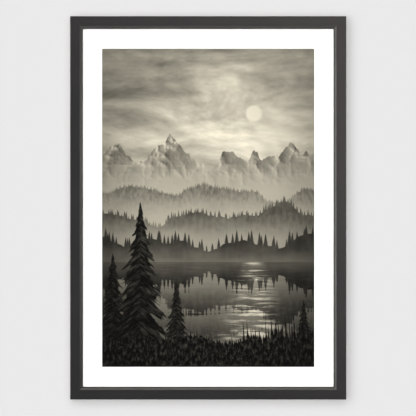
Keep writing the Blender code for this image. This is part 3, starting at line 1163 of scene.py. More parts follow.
# %% Make the bare wood
WOOD_PALE = (0.53, 0.375, 0.225, 1.0)
WOOD_DEEP = (0.35, 0.225, 0.120, 1.0)
WOOD_PORE = (0.16, 0.095, 0.050, 1.0)
PORE_STRENGTH = 0.6            # how much of its own colour a pore shows
WOOD_PATCH = 0.02
WOOD_ROUGHNESS = 0.78
WOOD_BUMP = (0.5, 0.00008)
SPRAY_REACH = 0.0045           # how far the spray came round the edge
SPRAY_FULL = 0.0008
SPRAY_RAGGED = 0.006           # how far its rim swings in and out
SPRAY_ROUGHER = -0.25          # sprayed wood is less rough than bare wood


def edge_distance(tree):
    # Distance to the nearest of the frame's four outside edges
    parts = add_node(tree, "SeparateXYZ", {0: object_place(tree)}).outputs
    left = []
    for axis, middle, size in (("X", MIDDLE.x, OUTER_WIDTH), ("Z", MIDDLE.z, OUTER_HEIGHT)):
        from_middle = calc(tree, "ABSOLUTE", calc(tree, "SUBTRACT", parts[axis], middle))
        left.append(calc(tree, "SUBTRACT", size / 2, from_middle))
    return calc(tree, "MINIMUM", *left)


def bare_wood(name, upright):
    material, tree, shader = new_material(name)
    along = along_rail(tree, upright)
    wood = use_group(tree, grain, {"Along": along})
    patches, specks = touched_by_hand(tree, along, WOOD_PATCH)
    body = mix_colour(tree, wood["Streaks"], WOOD_PALE, WOOD_DEEP)
    body = mix_colour(tree, calc(tree, "MULTIPLY", wood["Pores"], PORE_STRENGTH), body, WOOD_PORE)
    ragged = calc(tree, "ADD", add_share(tree, SPRAY_RAGGED / 2, specks, -SPRAY_RAGGED),
                  add_share(tree, SPRAY_RAGGED / 4, patches, -SPRAY_RAGGED / 2))
    rim = ramp(tree, calc(tree, "ADD", edge_distance(tree), ragged), SPRAY_REACH, SPRAY_FULL)
    height = calc(tree, "SUBTRACT", wood["Streaks"], wood["Pores"])
    fill(tree, shader, {"Base Color": mix_colour(tree, rim, body, PAINT_LIGHT),
                        "Roughness": add_share(tree, WOOD_ROUGHNESS, rim, SPRAY_ROUGHER),
                        "Normal": bump(tree, height, *WOOD_BUMP), "Specular IOR Level": 0.3})
    return material


wood_level = bare_wood("bare_wood_level", False)
wood_upright = bare_wood("bare_wood_upright", True)
print("bare wood:", len(wood_level.node_tree.nodes), "nodes")

# %% [markdown]
# One rail now gets both finishes. Each face is asked where it lies: behind the lip and away from the
# outer side it is bare wood, and everything else is painted, the sawn mitres too, so that no pale
# line shows in a joint.

# %% Paint the rails
OUTER_SKIN = 0.0006            # faces this near to the outer side are painted
MITRE_FACING = 0.5             # a mitre looks along X and Z alike, each by more than this


def paint_rail(side, rail):
    upright = side in ("left", "right")
    rail.data.materials.append(paint_upright if upright else paint_level)
    rail.data.materials.append(wood_upright if upright else wood_level)
    bare = 0
    for face in rail.data.polygons:
        middle = face.center
        off_x = OUTER_WIDTH / 2 - abs(middle.x - MIDDLE.x)
        off_z = OUTER_HEIGHT / 2 - abs(middle.z - MIDDLE.z)
        mitre = min(abs(face.normal.x), abs(face.normal.z)) > MITRE_FACING
        behind = middle.y > FRONT + LIP_BACK - TINY
        if behind and not mitre and min(off_x, off_z) > OUTER_SKIN:
            face.material_index = 1
            bare += 1
    return bare


for side, rail in rails.items():
    print(side, "rail:", paint_rail(side, rail), "bare faces of", len(rail.data.polygons))

# %% [markdown]
# ## Glass
#
# The glazing is picture glass, two millimetres thick. The sheet from the model is right as it is, with
# its ground edges, so it only gets a better material: a Principled shader that lets light through. A
# glass shader bends every ray, and a lamp's light then reaches the picture only by luck. So the rays
# that carry light to the sheets behind it, shadow rays and diffuse ones, meet a transparent shader
# instead, while the camera and the reflections still meet real glass.

# %% Make the glass
GLASS_CLEAN = (0.985, 0.995, 0.99, 1.0)
GLASS_TOUCHED = (0.975, 0.99, 0.985, 1.0)
GLASS_PATCH = 0.08


def picture_glass():
    material, tree, shader = new_material("picture_glass")
    patches, specks = touched_by_hand(tree, object_place(tree), GLASS_PATCH)
    fill(tree, shader, {"Base Color": mix_colour(tree, patches, GLASS_CLEAN, GLASS_TOUCHED),
                        "Roughness": 0.0, "IOR": 1.46, "Transmission Weight": 1.0})
    surface = shader.outputs[0]
    for kind_of_ray in ("Is Shadow Ray", "Is Diffuse Ray"):
        surface = clear_where(tree, add_node(tree, "LightPath").outputs[kind_of_ray], surface)
    use_surface(tree, surface)
    return material


def dress(node, material):
    nodes[node].material_slots[0].material = material


dress("glazing", picture_glass())
print("glass on the glazing")

# %% [markdown]
# ## Paper and board
#
# The mat, the print's margin and the foam card are all paper on the outside. Paper is never quite
# even: held to the light it shows clouds of fibre. One group gives a faint tone and a height from two
# sizes of noise, and each sheet uses it with its own strength.

# %% Build the paper group and the white boards
PAPER_CLOUDS = 180.0           # clouds and fibres to a metre
PAPER_FIBRES = 2600.0
CLOUD_SHARE = 0.7
BOARD_BUMP_STRENGTH = 0.4
MAT_LIGHT = (0.955, 0.955, 0.945, 1.0)
MAT_DARK = (0.915, 0.915, 0.900, 1.0)
FOAM_LIGHT = (0.90, 0.90, 0.89, 1.0)
FOAM_DARK = (0.84, 0.84, 0.82, 1.0)


def build_paper():
    tree, given, wanted = start_group("paper", {"Place": "Vector"}, {"Tone": "Float", "Height": "Float"})
    clouds = noise(tree, given["Place"], PAPER_CLOUDS, 3.0)
    fibres = noise(tree, given["Place"], PAPER_FIBRES, 2.0)
    tone = calc(tree, "ADD", calc(tree, "MULTIPLY", clouds, CLOUD_SHARE),
                calc(tree, "MULTIPLY", fibres, 1.0 - CLOUD_SHARE))
    fill(tree, wanted, {"Tone": tone, "Height": fibres})
    return tree


def board(name, light, dark, roughness, bump_depth):
    material, tree, shader = new_material(name)
    sheet = use_group(tree, paper, {"Place": object_place(tree)})
    fill(tree, shader, {"Base Color": mix_colour(tree, sheet["Tone"], light, dark),
                        "Roughness": roughness, "Specular IOR Level": 0.2,
                        "Normal": bump(tree, sheet["Height"], BOARD_BUMP_STRENGTH, bump_depth)})
    return material


paper = build_paper()
mat_board = board("mat_board", MAT_LIGHT, MAT_DARK, roughness=0.88, bump_depth=0.00004)
foam_card = board("foam_card", FOAM_LIGHT, FOAM_DARK, roughness=0.80, bump_depth=0.00005)
dress("window_mat", mat_board)
dress("filler_board", foam_card)
print("mat and foam card dressed")

# %% [markdown]
# ## The back board
#
# Hardboard is brown wood pulp, pressed smooth. From near by it shows short felted fibres, lighter and
# darker flecks, and large soft stains from the press.

# %% Make the hardboard
HARDBOARD_LIGHT = (0.335, 0.205, 0.110, 1.0)
HARDBOARD_DARK = (0.190, 0.108, 0.056, 1.0)
FLECK = (0.42, 0.29, 0.17, 1.0)
FELT_SCALE = 520.0
FLECK_SCALE = 420.0
FLECK_EDGE = (0.22, 0.05)      # how far from its middle a fleck ends and is full, as a share of a cell
FLECK_STRENGTH = 0.35
HARDBOARD_STAIN = 0.07
STAIN_SHARE = 0.25             # how much of the dark tone comes from the stains
FELT_SHARE = 0.8               # and from the felt
HARDBOARD_ROUGHNESS = 0.68
STAIN_ROUGHER = -0.12          # a stain is less rough than the board round it
HARDBOARD_BUMP = (0.35, 0.0001)


def hardboard():
    material, tree, shader = new_material("hardboard")
    place = object_place(tree)
    stains, specks = touched_by_hand(tree, place, HARDBOARD_STAIN)
    felt = noise(tree, place, FELT_SCALE, 6.0, 0.7, 1.5)
    flecks = add_node(tree, "TexVoronoi", {"Vector": place, "Scale": FLECK_SCALE, "Randomness": 1.0})
    fleck = calc(tree, "MULTIPLY", ramp(tree, flecks.outputs["Distance"], *FLECK_EDGE), FLECK_STRENGTH)
    tone = add_share(tree, calc(tree, "MULTIPLY", stains, STAIN_SHARE), felt, FELT_SHARE)
    body = mix_colour(tree, tone, HARDBOARD_LIGHT, HARDBOARD_DARK)
    fill(tree, shader, {"Base Color": mix_colour(tree, fleck, body, FLECK),
                        "Roughness": add_share(tree, HARDBOARD_ROUGHNESS, stains, STAIN_ROUGHER),
                        "Normal": bump(tree, felt, *HARDBOARD_BUMP), "Specular IOR Level": 0.35})
    return material


dress("back_board", hardboard())
print("back board dressed")

# %% [markdown]
# ## Steel and rubber
#
# The nails, screws, buttons and the hanger are steel with a thin coat of zinc. It is fairly bright,
# clouded in patches, and brushed by the press. One tone adds up both marks, and where it makes the metal
# duller it makes it rougher too.

# %% Make the steel
ZINC_BRIGHT = (0.70, 0.70, 0.68, 1.0)
ZINC_DULL = (0.50, 0.50, 0.49, 1.0)
ZINC_PATCH = 0.006
PATCH_SHARE = 0.6              # of the tone, and the brushed marks make up the rest
ZINC_ROUGHNESS = 0.24
ZINC_ROUGHER = 0.25            # how much rougher the dullest metal is
BRUSH_LENGTH = 0.004
BRUSH_WIDTH = 0.00012
ZINC_BUMP = (0.15, 0.00002)


def zinc_steel():
    material, tree, shader = new_material("zinc_steel")
    place = object_place(tree)
    patches, specks = touched_by_hand(tree, place, ZINC_PATCH)
    brushed = stretched_noise(tree, place, BRUSH_LENGTH, BRUSH_WIDTH, 2.0)
    tone = add_share(tree, calc(tree, "MULTIPLY", patches, PATCH_SHARE), brushed, 1.0 - PATCH_SHARE)
    fill(tree, shader, {"Base Color": mix_colour(tree, tone, ZINC_BRIGHT, ZINC_DULL), "Metallic": 1.0,
                        "Roughness": add_share(tree, ZINC_ROUGHNESS, tone, ZINC_ROUGHER),
                        "Normal": bump(tree, brushed, *ZINC_BUMP)})
    return material


steel = zinc_steel()
for piece in screws + buttons + [hanger]:
    piece.data.materials.append(steel)
nails = [node for node in nodes if node.startswith("corner_nail_")]
for nail in nails:
    dress(nail, steel)
print("steel on", len(screws) + len(buttons) + len(nails) + 1, "pieces")

# %% [markdown]
# The bumpers are black rubber with a little pale dust. The dust is where a soft patch and its specks
# are both strong, so it gathers in places instead of lying evenly.

# %% Make the rubber
RUBBER_BLACK = (0.018, 0.018, 0.019, 1.0)
RUBBER_DUSTY = (0.060, 0.058, 0.055, 1.0)
RUBBER_PATCH = 0.004
RUBBER_ROUGHNESS = 0.62
DUST_ROUGHER = 0.2             # how much rougher the thickest dust makes it
RUBBER_BUMP = (0.3, 0.00003)


def black_rubber():
    material, tree, shader = new_material("black_rubber")
    patches, specks = touched_by_hand(tree, object_place(tree), RUBBER_PATCH)
    dust = calc(tree, "MULTIPLY", patches, specks)
    fill(tree, shader, {"Base Color": mix_colour(tree, dust, RUBBER_BLACK, RUBBER_DUSTY),
                        "Roughness": add_share(tree, RUBBER_ROUGHNESS, dust, DUST_ROUGHER),
                        "Normal": bump(tree, specks, *RUBBER_BUMP)})
    return material


rubber = black_rubber()
for pad in pads:
    pad.data.materials.append(rubber)
print("rubber on", len(pads), "bumpers")

# %% [markdown]
# ## The print
#
# The picture is a photographic print in warm greys: a lake in the mountains on a misty morning. No image
# file is used. A landscape is a pile of flat layers, each nearer and darker than the last, so it can be
# painted with sums. All of it is laid out in decimetres from the middle of the picture, X to the right
# and Y up, and all tones are what the eye should see, from 0 for black to 1 for white.
#
# The outline of a hill is noise along one line. Firs follow the same line, so the outline comes first,
# as a group that can be asked for its height at any X.

# %% Build the hill line
LINE_INPUTS = {"X": "Float", "Base": "Float", "Swell": "Float", "Span": "Float", "Seed": "Float",
               "Rough": "Float"}
SWING = 3.0                    # noise stays in its middle third, so it swings by three times the swell


def noise_along(tree, along, detail, roughness=0.5):
    return add_node(tree, "TexNoise", {"W": along, "Scale": 1.0, "Detail": detail, "Roughness": roughness},
                    noise_dimensions="1D").outputs["Fac"]


def build_hill_line():
    tree, given, wanted = start_group("hill_line", LINE_INPUTS, {"Height": "Float"})
    along = calc(tree, "ADD", calc(tree, "DIVIDE", given["X"], given["Span"]), given["Seed"])
    rise = calc(tree, "SUBTRACT", noise_along(tree, along, 6.0, given["Rough"]), 0.5)
    rise = calc(tree, "MULTIPLY", rise, calc(tree, "MULTIPLY", given["Swell"], SWING))
    fill(tree, wanted, {"Height": calc(tree, "ADD", rise, given["Base"])})
    return tree


hill_line = build_hill_line()
print("hill line:", len(hill_line.nodes), "nodes")

# %% [markdown]
# Painting with sums needs edges that are a little soft, because an edge without any looks cut out, and
# tones that ease from one to another. The next helpers give both, add the sway of a noise to any value,
# and put X and Y together to the place at which a texture is read.

# %% Soften, fade and sway
EDGE_SOFTNESS = 0.004          # decimetres


def fade(tree, value, start, end, first, last):
    # An eased way from the first tone at the start to the last at the end
    return add_node(tree, "MapRange", {"Value": value, "From Min": start, "From Max": end, "To Min": first,
                                       "To Max": last}, interpolation_type="SMOOTHSTEP").outputs["Result"]


def soft_step(tree, value, softness):
    # 0 below zero and 1 above it, softened over a short way
    return fade(tree, value, -softness, softness, 0.0, 1.0)


def sway(tree, base, value, strength):
    # Noise, which goes from 0 to 1, moves the base up and down
    return add_share(tree, base, calc(tree, "SUBTRACT", value, 0.5), strength)


def point(tree, x, y, z=0.0):
    return add_node(tree, "CombineXYZ", {"X": x, "Y": y, "Z": z}).outputs[0]


print("edges are", EDGE_SOFTNESS, "dm soft")

# %% [markdown]
# A fir is a spire of branches in tiers. Each branch hangs down a little towards its end, so the pattern
# is read at the height where the branch leaves the trunk. A tier is longest at its foot and shorter
# upwards, noise along the trunk makes every tree uneven, and noise drawn out along the branches frays
# them into sprays of needles.

# %% Draw one fir
FIR_SLIMNESS = 0.21            # half width at the foot as a share of the height
DROOP = 0.15                   # how far a branch hangs at its end, as a share of the height
BARE_TRUNK = 0.06
TRUNK_WIDTH = 0.011
SPIRE_CURVE = 0.9              # below 1 the spire's sides bulge a little
FEWEST_TIERS = 11.0
MORE_TIERS = 4.0
TIER_FOOT = 1.15
TIER_STEP = 0.42               # how much shorter a tier gets from its foot to its top
UNEVEN = 1.2                   # how much the branches differ in length
LENGTH_CHANGES = 17.0          # how many times their length changes from the foot to the tip
FRAYED = 1.5
SPRAYS = (3.0, 42.0)           # how dense the sprays lie out along the branches and up the tree
OTHER_SIDE = 5.3               # the step in the pattern from the trunk to either side
END_SOFTNESS = 0.01            # a share of the tree's height


def build_fir():
    inputs = {"Aside": "Float", "Up": "Float", "Tall": "Float", "Seed": "Float"}
    tree, given, wanted = start_group("fir", inputs, {"Mask": "Float", "Needles": "Float"})
    sideways = calc(tree, "ABSOLUTE", given["Aside"])
    widest = calc(tree, "MULTIPLY", given["Tall"], FIR_SLIMNESS)
    reach = calc(tree, "DIVIDE", sideways, widest)
    start = add_share(tree, given["Up"], reach, DROOP)
    own = add_share(tree, given["Seed"], calc(tree, "SIGN", given["Aside"]), OTHER_SIDE)
    tiers = add_share(tree, FEWEST_TIERS, calc(tree, "FRACT", given["Seed"]), MORE_TIERS)
    in_tier = calc(tree, "FRACT", add_share(tree, own, start, tiers))
    uneven = noise_along(tree, add_share(tree, own, start, LENGTH_CHANGES), 2.0)
    place = point(tree, calc(tree, "MULTIPLY", reach, SPRAYS[0]),
                  calc(tree, "MULTIPLY", start, SPRAYS[1]), own)
    needles = noise(tree, place, 1.0, 3.0, 0.7)
    length = calc(tree, "MAXIMUM", calc(tree, "SUBTRACT", 1.0, start), 0.0)
    length = calc(tree, "POWER", length, SPIRE_CURVE)
    for factor in (add_share(tree, TIER_FOOT, in_tier, -TIER_STEP), sway(tree, 1.0, uneven, UNEVEN),
                   sway(tree, 1.0, needles, FRAYED)):
        length = calc(tree, "MULTIPLY", length, factor)
    inside = calc(tree, "MULTIPLY", calc(tree, "SUBTRACT", length, reach), widest)
    branches = calc(tree, "MULTIPLY", soft_step(tree, inside, EDGE_SOFTNESS),
                    soft_step(tree, calc(tree, "SUBTRACT", start, BARE_TRUNK), END_SOFTNESS))
    left_over = calc(tree, "SUBTRACT", 1.0, given["Up"])
    trunk = calc(tree, "MULTIPLY", calc(tree, "MULTIPLY", given["Tall"], TRUNK_WIDTH), left_over)
    trunk = soft_step(tree, calc(tree, "SUBTRACT", trunk, sideways), EDGE_SOFTNESS)
    drawn = calc(tree, "MAXIMUM", branches, trunk)
    mask = calc(tree, "MULTIPLY", drawn, soft_step(tree, left_over, END_SOFTNESS))
    fill(tree, wanted, {"Mask": mask, "Needles": needles})
    return tree


fir = build_fir()
print("fir:", len(fir.nodes), "nodes")

# %% [markdown]
# A Voronoi texture in one dimension drops one tree in each cell along X and gives it a colour of its
# own, and that colour sets its height and its seed. A tree stays narrower than its cell, so that no
# neighbour cuts it off, and a wood is a few such rows on top of each other.

# %% Plant a row of firs
FIRS_PER_HEIGHT = 0.95         # trees in a stretch as long as the tallest is high
ROOTED = 0.10                  # how deep a fir stands in its ridge, as a share of the height
SMALLEST = 0.45                # the smallest fir as a share of the tallest
SEEDS = 37.0


def build_fir_row():
    inputs = {**LINE_INPUTS, "Y": "Float", "Tall": "Float", "Shift": "Float"}
    tree, given, wanted = start_group("fir_row", inputs, {"Mask": "Float"})
    cells = add_node(tree, "TexVoronoi", {"W": calc(tree, "ADD", given["X"], given["Shift"]),
                                          "Scale": calc(tree, "DIVIDE", FIRS_PER_HEIGHT, given["Tall"]),
                                          "Randomness": 0.6}, voronoi_dimensions="1D").outputs
    trunk = calc(tree, "SUBTRACT", cells["W"], given["Shift"])
    own = add_node(tree, "SeparateColor", {0: cells["Color"]}).outputs
    line = {name: given[name] for name in LINE_INPUTS}
    ground = use_group(tree, hill_line, {**line, "X": trunk})["Height"]
    tall = calc(tree, "MULTIPLY", given["Tall"], add_share(tree, SMALLEST, own["Red"], 1.0 - SMALLEST))
    above = calc(tree, "SUBTRACT", given["Y"], ground)
    drawn = use_group(tree, fir, {"Aside": calc(tree, "SUBTRACT", given["X"], trunk), "Tall": tall,
                                  "Up": calc(tree, "ADD", calc(tree, "DIVIDE", above, tall), ROOTED),
                                  "Seed": calc(tree, "MULTIPLY", own["Green"], SEEDS)})
    fill(tree, wanted, {"Mask": drawn["Mask"]})
    return tree


fir_row = build_fir_row()
print("fir row:", len(fir_row.nodes), "nodes")

# %% [markdown]
# The sky needs clouds with some body. Noise that is drawn out sideways gives their shape. The same noise
# read a little nearer to the sun tells how much cloud stands in the light's way, and the difference of
# the two lights the edges that face it. Rock will be lit in the same way, so this is a helper.

# %% Light noise from one side


def mix_tone(tree, share, first, second):
    return add_node(tree, "Mix", {0: share, 2: first, 3: second}, data_type="FLOAT").outputs[0]


def lit_noise(tree, place, step, kind, **inputs):
    # The noise, and how much lighter it is here than one step on
    further = add_node(tree, "VectorMath", {0: place, 1: step}, operation="ADD").outputs[0]
    here, there = (add_node(tree, "TexNoise", {"Vector": spot, **inputs}, noise_type=kind).outputs["Fac"]
                   for spot in (place, further))
    return here, calc(tree, "SUBTRACT", here, there)


print("light on noise ready")

# %% [markdown]
# A pale sun hangs in the haze, with a glow round it that fades with the distance. Clouds drift in front
# of it and hide it in part, and a fine mottle keeps the sky from looking like smoke from a machine.

# %% Paint the sky
SUN_PLACE = (0.86, 1.78)
SUN_RADIUS = 0.15
SUN_SOFTNESS = 0.03
SUN_TONE = 0.93
GLOW = 0.17
GLOW_REACH = 2.3
SKY_TONE = 0.67
SKY_MOTTLE = 0.16
CLOUD_STRETCH = 0.42
CLOUD_TONE = 0.50
CLOUD_LIGHT = 0.75
CLOUD_OVER_SUN = (0.42, 0.72)  # the noise between which a cloud begins and is thickest in front of the sun
THICKEST = 0.8                 # how much of the sun the thickest cloud hides
TO_SUN = (0.05, 0.11, 0.0)     # the step towards the sun at which the clouds are read again


def distance_from(tree, x, y, place):
    side = calc(tree, "SUBTRACT", x, place[0])
    up = calc(tree, "SUBTRACT", y, place[1])
    return calc(tree, "SQRT", calc(tree, "ADD", calc(tree, "MULTIPLY", side, side),
                                   calc(tree, "MULTIPLY", up, up)))


def sky_tone(tree, x, y):
    place = point(tree, calc(tree, "MULTIPLY", x, CLOUD_STRETCH), y, 4.0)
    clouds, lit = lit_noise(tree, place, TO_SUN, "FBM", Scale=1.25, Detail=9.0, Roughness=0.58,
                            Distortion=0.35)
    from_sun = distance_from(tree, x, y, SUN_PLACE)
    tone = sway(tree, SKY_TONE, clouds, CLOUD_TONE)
    tone = add_share(tree, tone, lit, CLOUD_LIGHT)
    tone = sway(tree, tone, noise(tree, place, 8.0, 6.0, 0.65), SKY_MOTTLE)
    tone = calc(tree, "ADD", tone, fade(tree, from_sun, SUN_RADIUS, GLOW_REACH, GLOW, 0.0))
    sun = mix_tone(tree, fade(tree, clouds, *CLOUD_OVER_SUN, 0.0, THICKEST), SUN_TONE, tone)
    return mix_tone(tree, soft_step(tree, calc(tree, "SUBTRACT", SUN_RADIUS, from_sun), SUN_SOFTNESS),
                    tone, sun)


print("sky ready")

# %% [markdown]
# Mist lies level in front of every range and thickens downwards. It is a veil: a pale tone that is mixed
# in, more and more from its top down. Noise that is drawn out sideways moves its top and makes wisps.

# %% Draw a veil of mist
MIST_TOP = 0.1                 # above a hill's base
MIST_HEIGHT = 0.62
WISPS = 0.34
DRAWN_OUT = 0.45               # under 1, it stretches a pattern along the axis that it multiplies


def veil(tree, x, y, tone, mist, top, height):
    # Mist that lies level and thickens downwards from its top, with wisps in it
    place = point(tree, calc(tree, "MULTIPLY", x, DRAWN_OUT), y, top * 9.0)
    level = sway(tree, y, noise(tree, place, 3.0, 4.0), WISPS)
    return mix_tone(tree, fade(tree, level, top, top - height, 0.0, 1.0), tone, mist)


print("mist", MIST_HEIGHT, "dm high in front of the hills")

# %% [markdown]
# The far mountains are bare rock with snow. Ridged noise looks like a range seen from above, and read
# twice, a small step apart, it is lit from one side as slopes are. Snow lies near the top, where the
# ridges of the noise are high.

# %% Paint the mountains
PEAKS = {"Base": 0.98, "Swell": 0.62, "Span": 1.15, "Seed": 8.3, "Rough": 0.52}
PEAKS_TONE = 0.48
PEAKS_MIST = 0.70
PEAKS_MIST_TOP = 0.3           # above their base
PEAKS_MIST_HEIGHT = 1.05
ROCK_STRETCH = 0.8             # under 1, it draws the rock out upwards
ROCK_RELIEF = 0.45
ROCK_STEP = (0.035, 0.02, 0.0)
SNOW = 0.16
SNOW_EDGE = (0.75, 1.25)       # the noise between which snow begins and is at its whitest
SNOW_REACH = 0.5


def peaks_tone(tree, x, y, behind):
    height = use_group(tree, hill_line, {"X": x, **PEAKS})["Height"]
    depth = calc(tree, "SUBTRACT", height, y)
    place = point(tree, x, calc(tree, "MULTIPLY", y, ROCK_STRETCH))
    rock, lit = lit_noise(tree, place, ROCK_STEP, "RIDGED_MULTIFRACTAL", Scale=1.9, Detail=9.0,
                          Roughness=0.6, Offset=0.9, Gain=1.6)
    snow = calc(tree, "MULTIPLY", fade(tree, rock, *SNOW_EDGE, 0.0, SNOW),
                fade(tree, depth, 0.0, SNOW_REACH, 1.0, 0.0))
    tone = calc(tree, "ADD", add_share(tree, PEAKS_TONE, lit, -ROCK_RELIEF), snow)
    tone = veil(tree, x, y, tone, PEAKS_MIST, PEAKS["Base"] + PEAKS_MIST_TOP, PEAKS_MIST_HEIGHT)
    return mix_tone(tree, soft_step(tree, depth, EDGE_SOFTNESS), behind, tone)


print("peaks from", PEAKS["Base"], "dm above the middle")

# %% [markdown]
# The wooded hills in front of them get firs on their ridges, from four rows on top of each other. From
# the farthest to the nearest the hills get darker and their firs taller.

# %% Raise the wooded hills
HILLS = (                      # base, swell, span, seed, fir height, tone at the ridge, tone of its mist
    (0.34, 0.36, 1.5, 11.7, 0.07, 0.450, 0.680),
    (-0.14, 0.34, 1.2, 23.4, 0.13, 0.335, 0.610),
    (-0.66, 0.26, 1.1, 40.6, 0.27, 0.215, 0.460),
)
HILL_ROUGHNESS = 0.42
WOODS_CONTRAST = 1.1
WOODS_SCALE = 3.0              # how fine a wood's pattern is where its firs are a decimetre high
WOODS_FINER = 0.7              # how strongly smaller firs make it finer
FIR_SHIFTS = (0.0, 3.37, 7.91, 12.6)


def hill_tone(tree, x, y, behind, values):
    base, swell, span, seed, tall, tone, mist = values
    line = {"X": x, "Base": base, "Swell": swell, "Span": span, "Seed": seed, "Rough": HILL_ROUGHNESS}
    depth = calc(tree, "SUBTRACT", use_group(tree, hill_line, line)["Height"], y)
    mask = soft_step(tree, depth, EDGE_SOFTNESS)
    for shift in FIR_SHIFTS:
        row = use_group(tree, fir_row, {**line, "Y": y, "Tall": tall, "Shift": shift + seed})
        mask = calc(tree, "MAXIMUM", mask, row["Mask"])
    place = point(tree, x, calc(tree, "MULTIPLY", y, DRAWN_OUT), seed)
    woods = noise(tree, place, WOODS_SCALE / tall ** WOODS_FINER, 5.0, 0.65)
    own = calc(tree, "MULTIPLY", tone, sway(tree, 1.0, woods, WOODS_CONTRAST))
    own = veil(tree, x, y, own, mist, base + MIST_TOP, MIST_HEIGHT)
    return mix_tone(tree, mask, behind, own)


print(len(HILLS), "ranges of hills")

# %% [markdown]
# Still water mirrors what stands behind it, and painting that twice isn't needed: below the shore, the
# landscape is simply read at a height that is mirrored at the waterline. Ripples shift that height, more
# so near the viewer, and the sun leaves a path of glints. The mirrored land is a little darker.

# %% Fill the lake
WATER_LINE = -1.02
WATER_SHADE = 0.84
NEAR_WATER = 1.5               # how far below the waterline the darkest water lies
NEAR_SHADE = 0.72              # its shade as a share of the far water's
RIPPLES = (1.3, 17.0)          # how dense they lie across the picture and down it
CROWDING = 0.55                # below 1 the ripples crowd towards the far shore
RIPPLE_SHIFT = (0.05, 0.42)    # at the far shore, and more by this with each decimetre below it
RIPPLE_TONE = 0.16
PATH_WIDTH = (0.16, 0.30)      # the same for the width of the sun's path
PATH_FADE = 1.6                # how many of its widths away from its middle the last glint lies
GLINT_EDGE = (-0.04, 0.12)     # the ripples between which the light grows from its least to its most
GLINT_TONES = (0.10, 0.55)


def lake_place(tree, x, y):
    # Where to read the landscape, how far below the waterline this is, and the ripples there
    depth = calc(tree, "MAXIMUM", calc(tree, "SUBTRACT", WATER_LINE, y), 0.0)
    away = calc(tree, "POWER", depth, CROWDING)
    place = point(tree, calc(tree, "MULTIPLY", x, RIPPLES[0]), calc(tree, "MULTIPLY", away, RIPPLES[1]))
    ripples = calc(tree, "SUBTRACT", noise(tree, place, 1.4, 5.0, 0.6), 0.5)
    shift = calc(tree, "MULTIPLY", ripples, add_share(tree, RIPPLE_SHIFT[0], depth, RIPPLE_SHIFT[1]))
    mirrored = calc(tree, "ADD", calc(tree, "ADD", depth, WATER_LINE), shift)
    below = soft_step(tree, calc(tree, "SUBTRACT", WATER_LINE, y), EDGE_SOFTNESS)
    return mix_tone(tree, below, y, mirrored), below, depth, ripples


def lake_tone(tree, x, tone, depth, ripples):
    shade = fade(tree, depth, 0.0, NEAR_WATER, WATER_SHADE, WATER_SHADE * NEAR_SHADE)
    tone = add_share(tree, calc(tree, "MULTIPLY", tone, shade), ripples, RIPPLE_TONE)
    aside = calc(tree, "ABSOLUTE", calc(tree, "SUBTRACT", x, SUN_PLACE[0]))
    off_path = calc(tree, "DIVIDE", aside, add_share(tree, PATH_WIDTH[0], depth, PATH_WIDTH[1]))
    glints = calc(tree, "MULTIPLY", fade(tree, off_path, 0.0, PATH_FADE, 1.0, 0.0),
                  fade(tree, ripples, *GLINT_EDGE, *GLINT_TONES))
    return calc(tree, "ADD", tone, glints)


print("lake ready")

# %% [markdown]
# The near bank closes the picture at the bottom. It is almost black, with tufts of grass and taller reeds
# along its edge, which are noise along X that leans as it rises. Three big firs stand on it at the left,
# large enough to show their tiers, and a small one at the right. Light from the lake catches a few of
# their sprays.

# %% Paint the near bank
BANK = {"Base": -2.52, "Swell": 0.20, "Span": 0.9, "Seed": 63.0, "Rough": 0.5}
BANK_TONE = 0.10
TURF_STRETCH = 2.2             # over 1, it makes the turf's pattern stand upright
TURF_EDGE = (0.40, 0.68)       # the noise between which the turf goes from its first tone to its last
TURF_TONES = (0.35, 3.2)       # as shares of the bank's tone
BIG_FIRS = (                   # X and Y of the foot, height, seed
    (-1.80, -2.60, 1.75, 4.3),
    (-0.60, -2.66, 1.30, 9.6),
    (-1.28, -2.74, 2.85, 2.1),
    (1.80, -2.68, 0.95, 6.4),
)
NEEDLE_EDGE = (0.38, 0.72)     # the noise between which the needles go from the first tone to the last
NEEDLE_TONES = (0.06, 0.27)
BLADES = 26.0                  # how dense the blades stand
BLADE_POINTS = 3.0             # the higher this power, the fewer blades stand out
REED_LEAN = 1.6
REED_HEIGHT = 1.30
REEDS_FROM, REEDS_FULL = 0.1, 1.5   # from left to right the grass turns into reeds between these X
GRASS_HEIGHT = 0.42


def bank_tone(tree, x, y, behind):
    tone = behind
    for foot_x, foot_y, tall, seed in BIG_FIRS:
        up = calc(tree, "DIVIDE", calc(tree, "SUBTRACT", y, foot_y), tall)
        drawn = use_group(tree, fir, {"Aside": calc(tree, "SUBTRACT", x, foot_x), "Up": up, "Tall": tall,
                                      "Seed": seed})
        sprays = fade(tree, drawn["Needles"], *NEEDLE_EDGE, *NEEDLE_TONES)
        tone = mix_tone(tree, drawn["Mask"], tone, sprays)
    blades = noise_along(tree, add_share(tree, calc(tree, "MULTIPLY", x, BLADES), y, REED_LEAN), 2.0)
    height = fade(tree, x, REEDS_FROM, REEDS_FULL, GRASS_HEIGHT, REED_HEIGHT)
    tufts = calc(tree, "MULTIPLY", calc(tree, "POWER", blades, BLADE_POINTS), height)
    edge = calc(tree, "ADD", use_group(tree, hill_line, {"X": x, **BANK})["Height"], tufts)
    turf = noise(tree, point(tree, calc(tree, "MULTIPLY", x, TURF_STRETCH), y), 9.0, 7.0, 0.7)
    own = calc(tree, "MULTIPLY", BANK_TONE, fade(tree, turf, *TURF_EDGE, *TURF_TONES))
    return mix_tone(tree, soft_step(tree, calc(tree, "SUBTRACT", edge, y), EDGE_SOFTNESS), tone, own)


print(len(BIG_FIRS), "firs on the bank")

# %% [markdown]
# Now the layers are piled up, from the sky to the bank. A vignette darkens the corners, as a lens does,
# and grain breaks up the even parts.

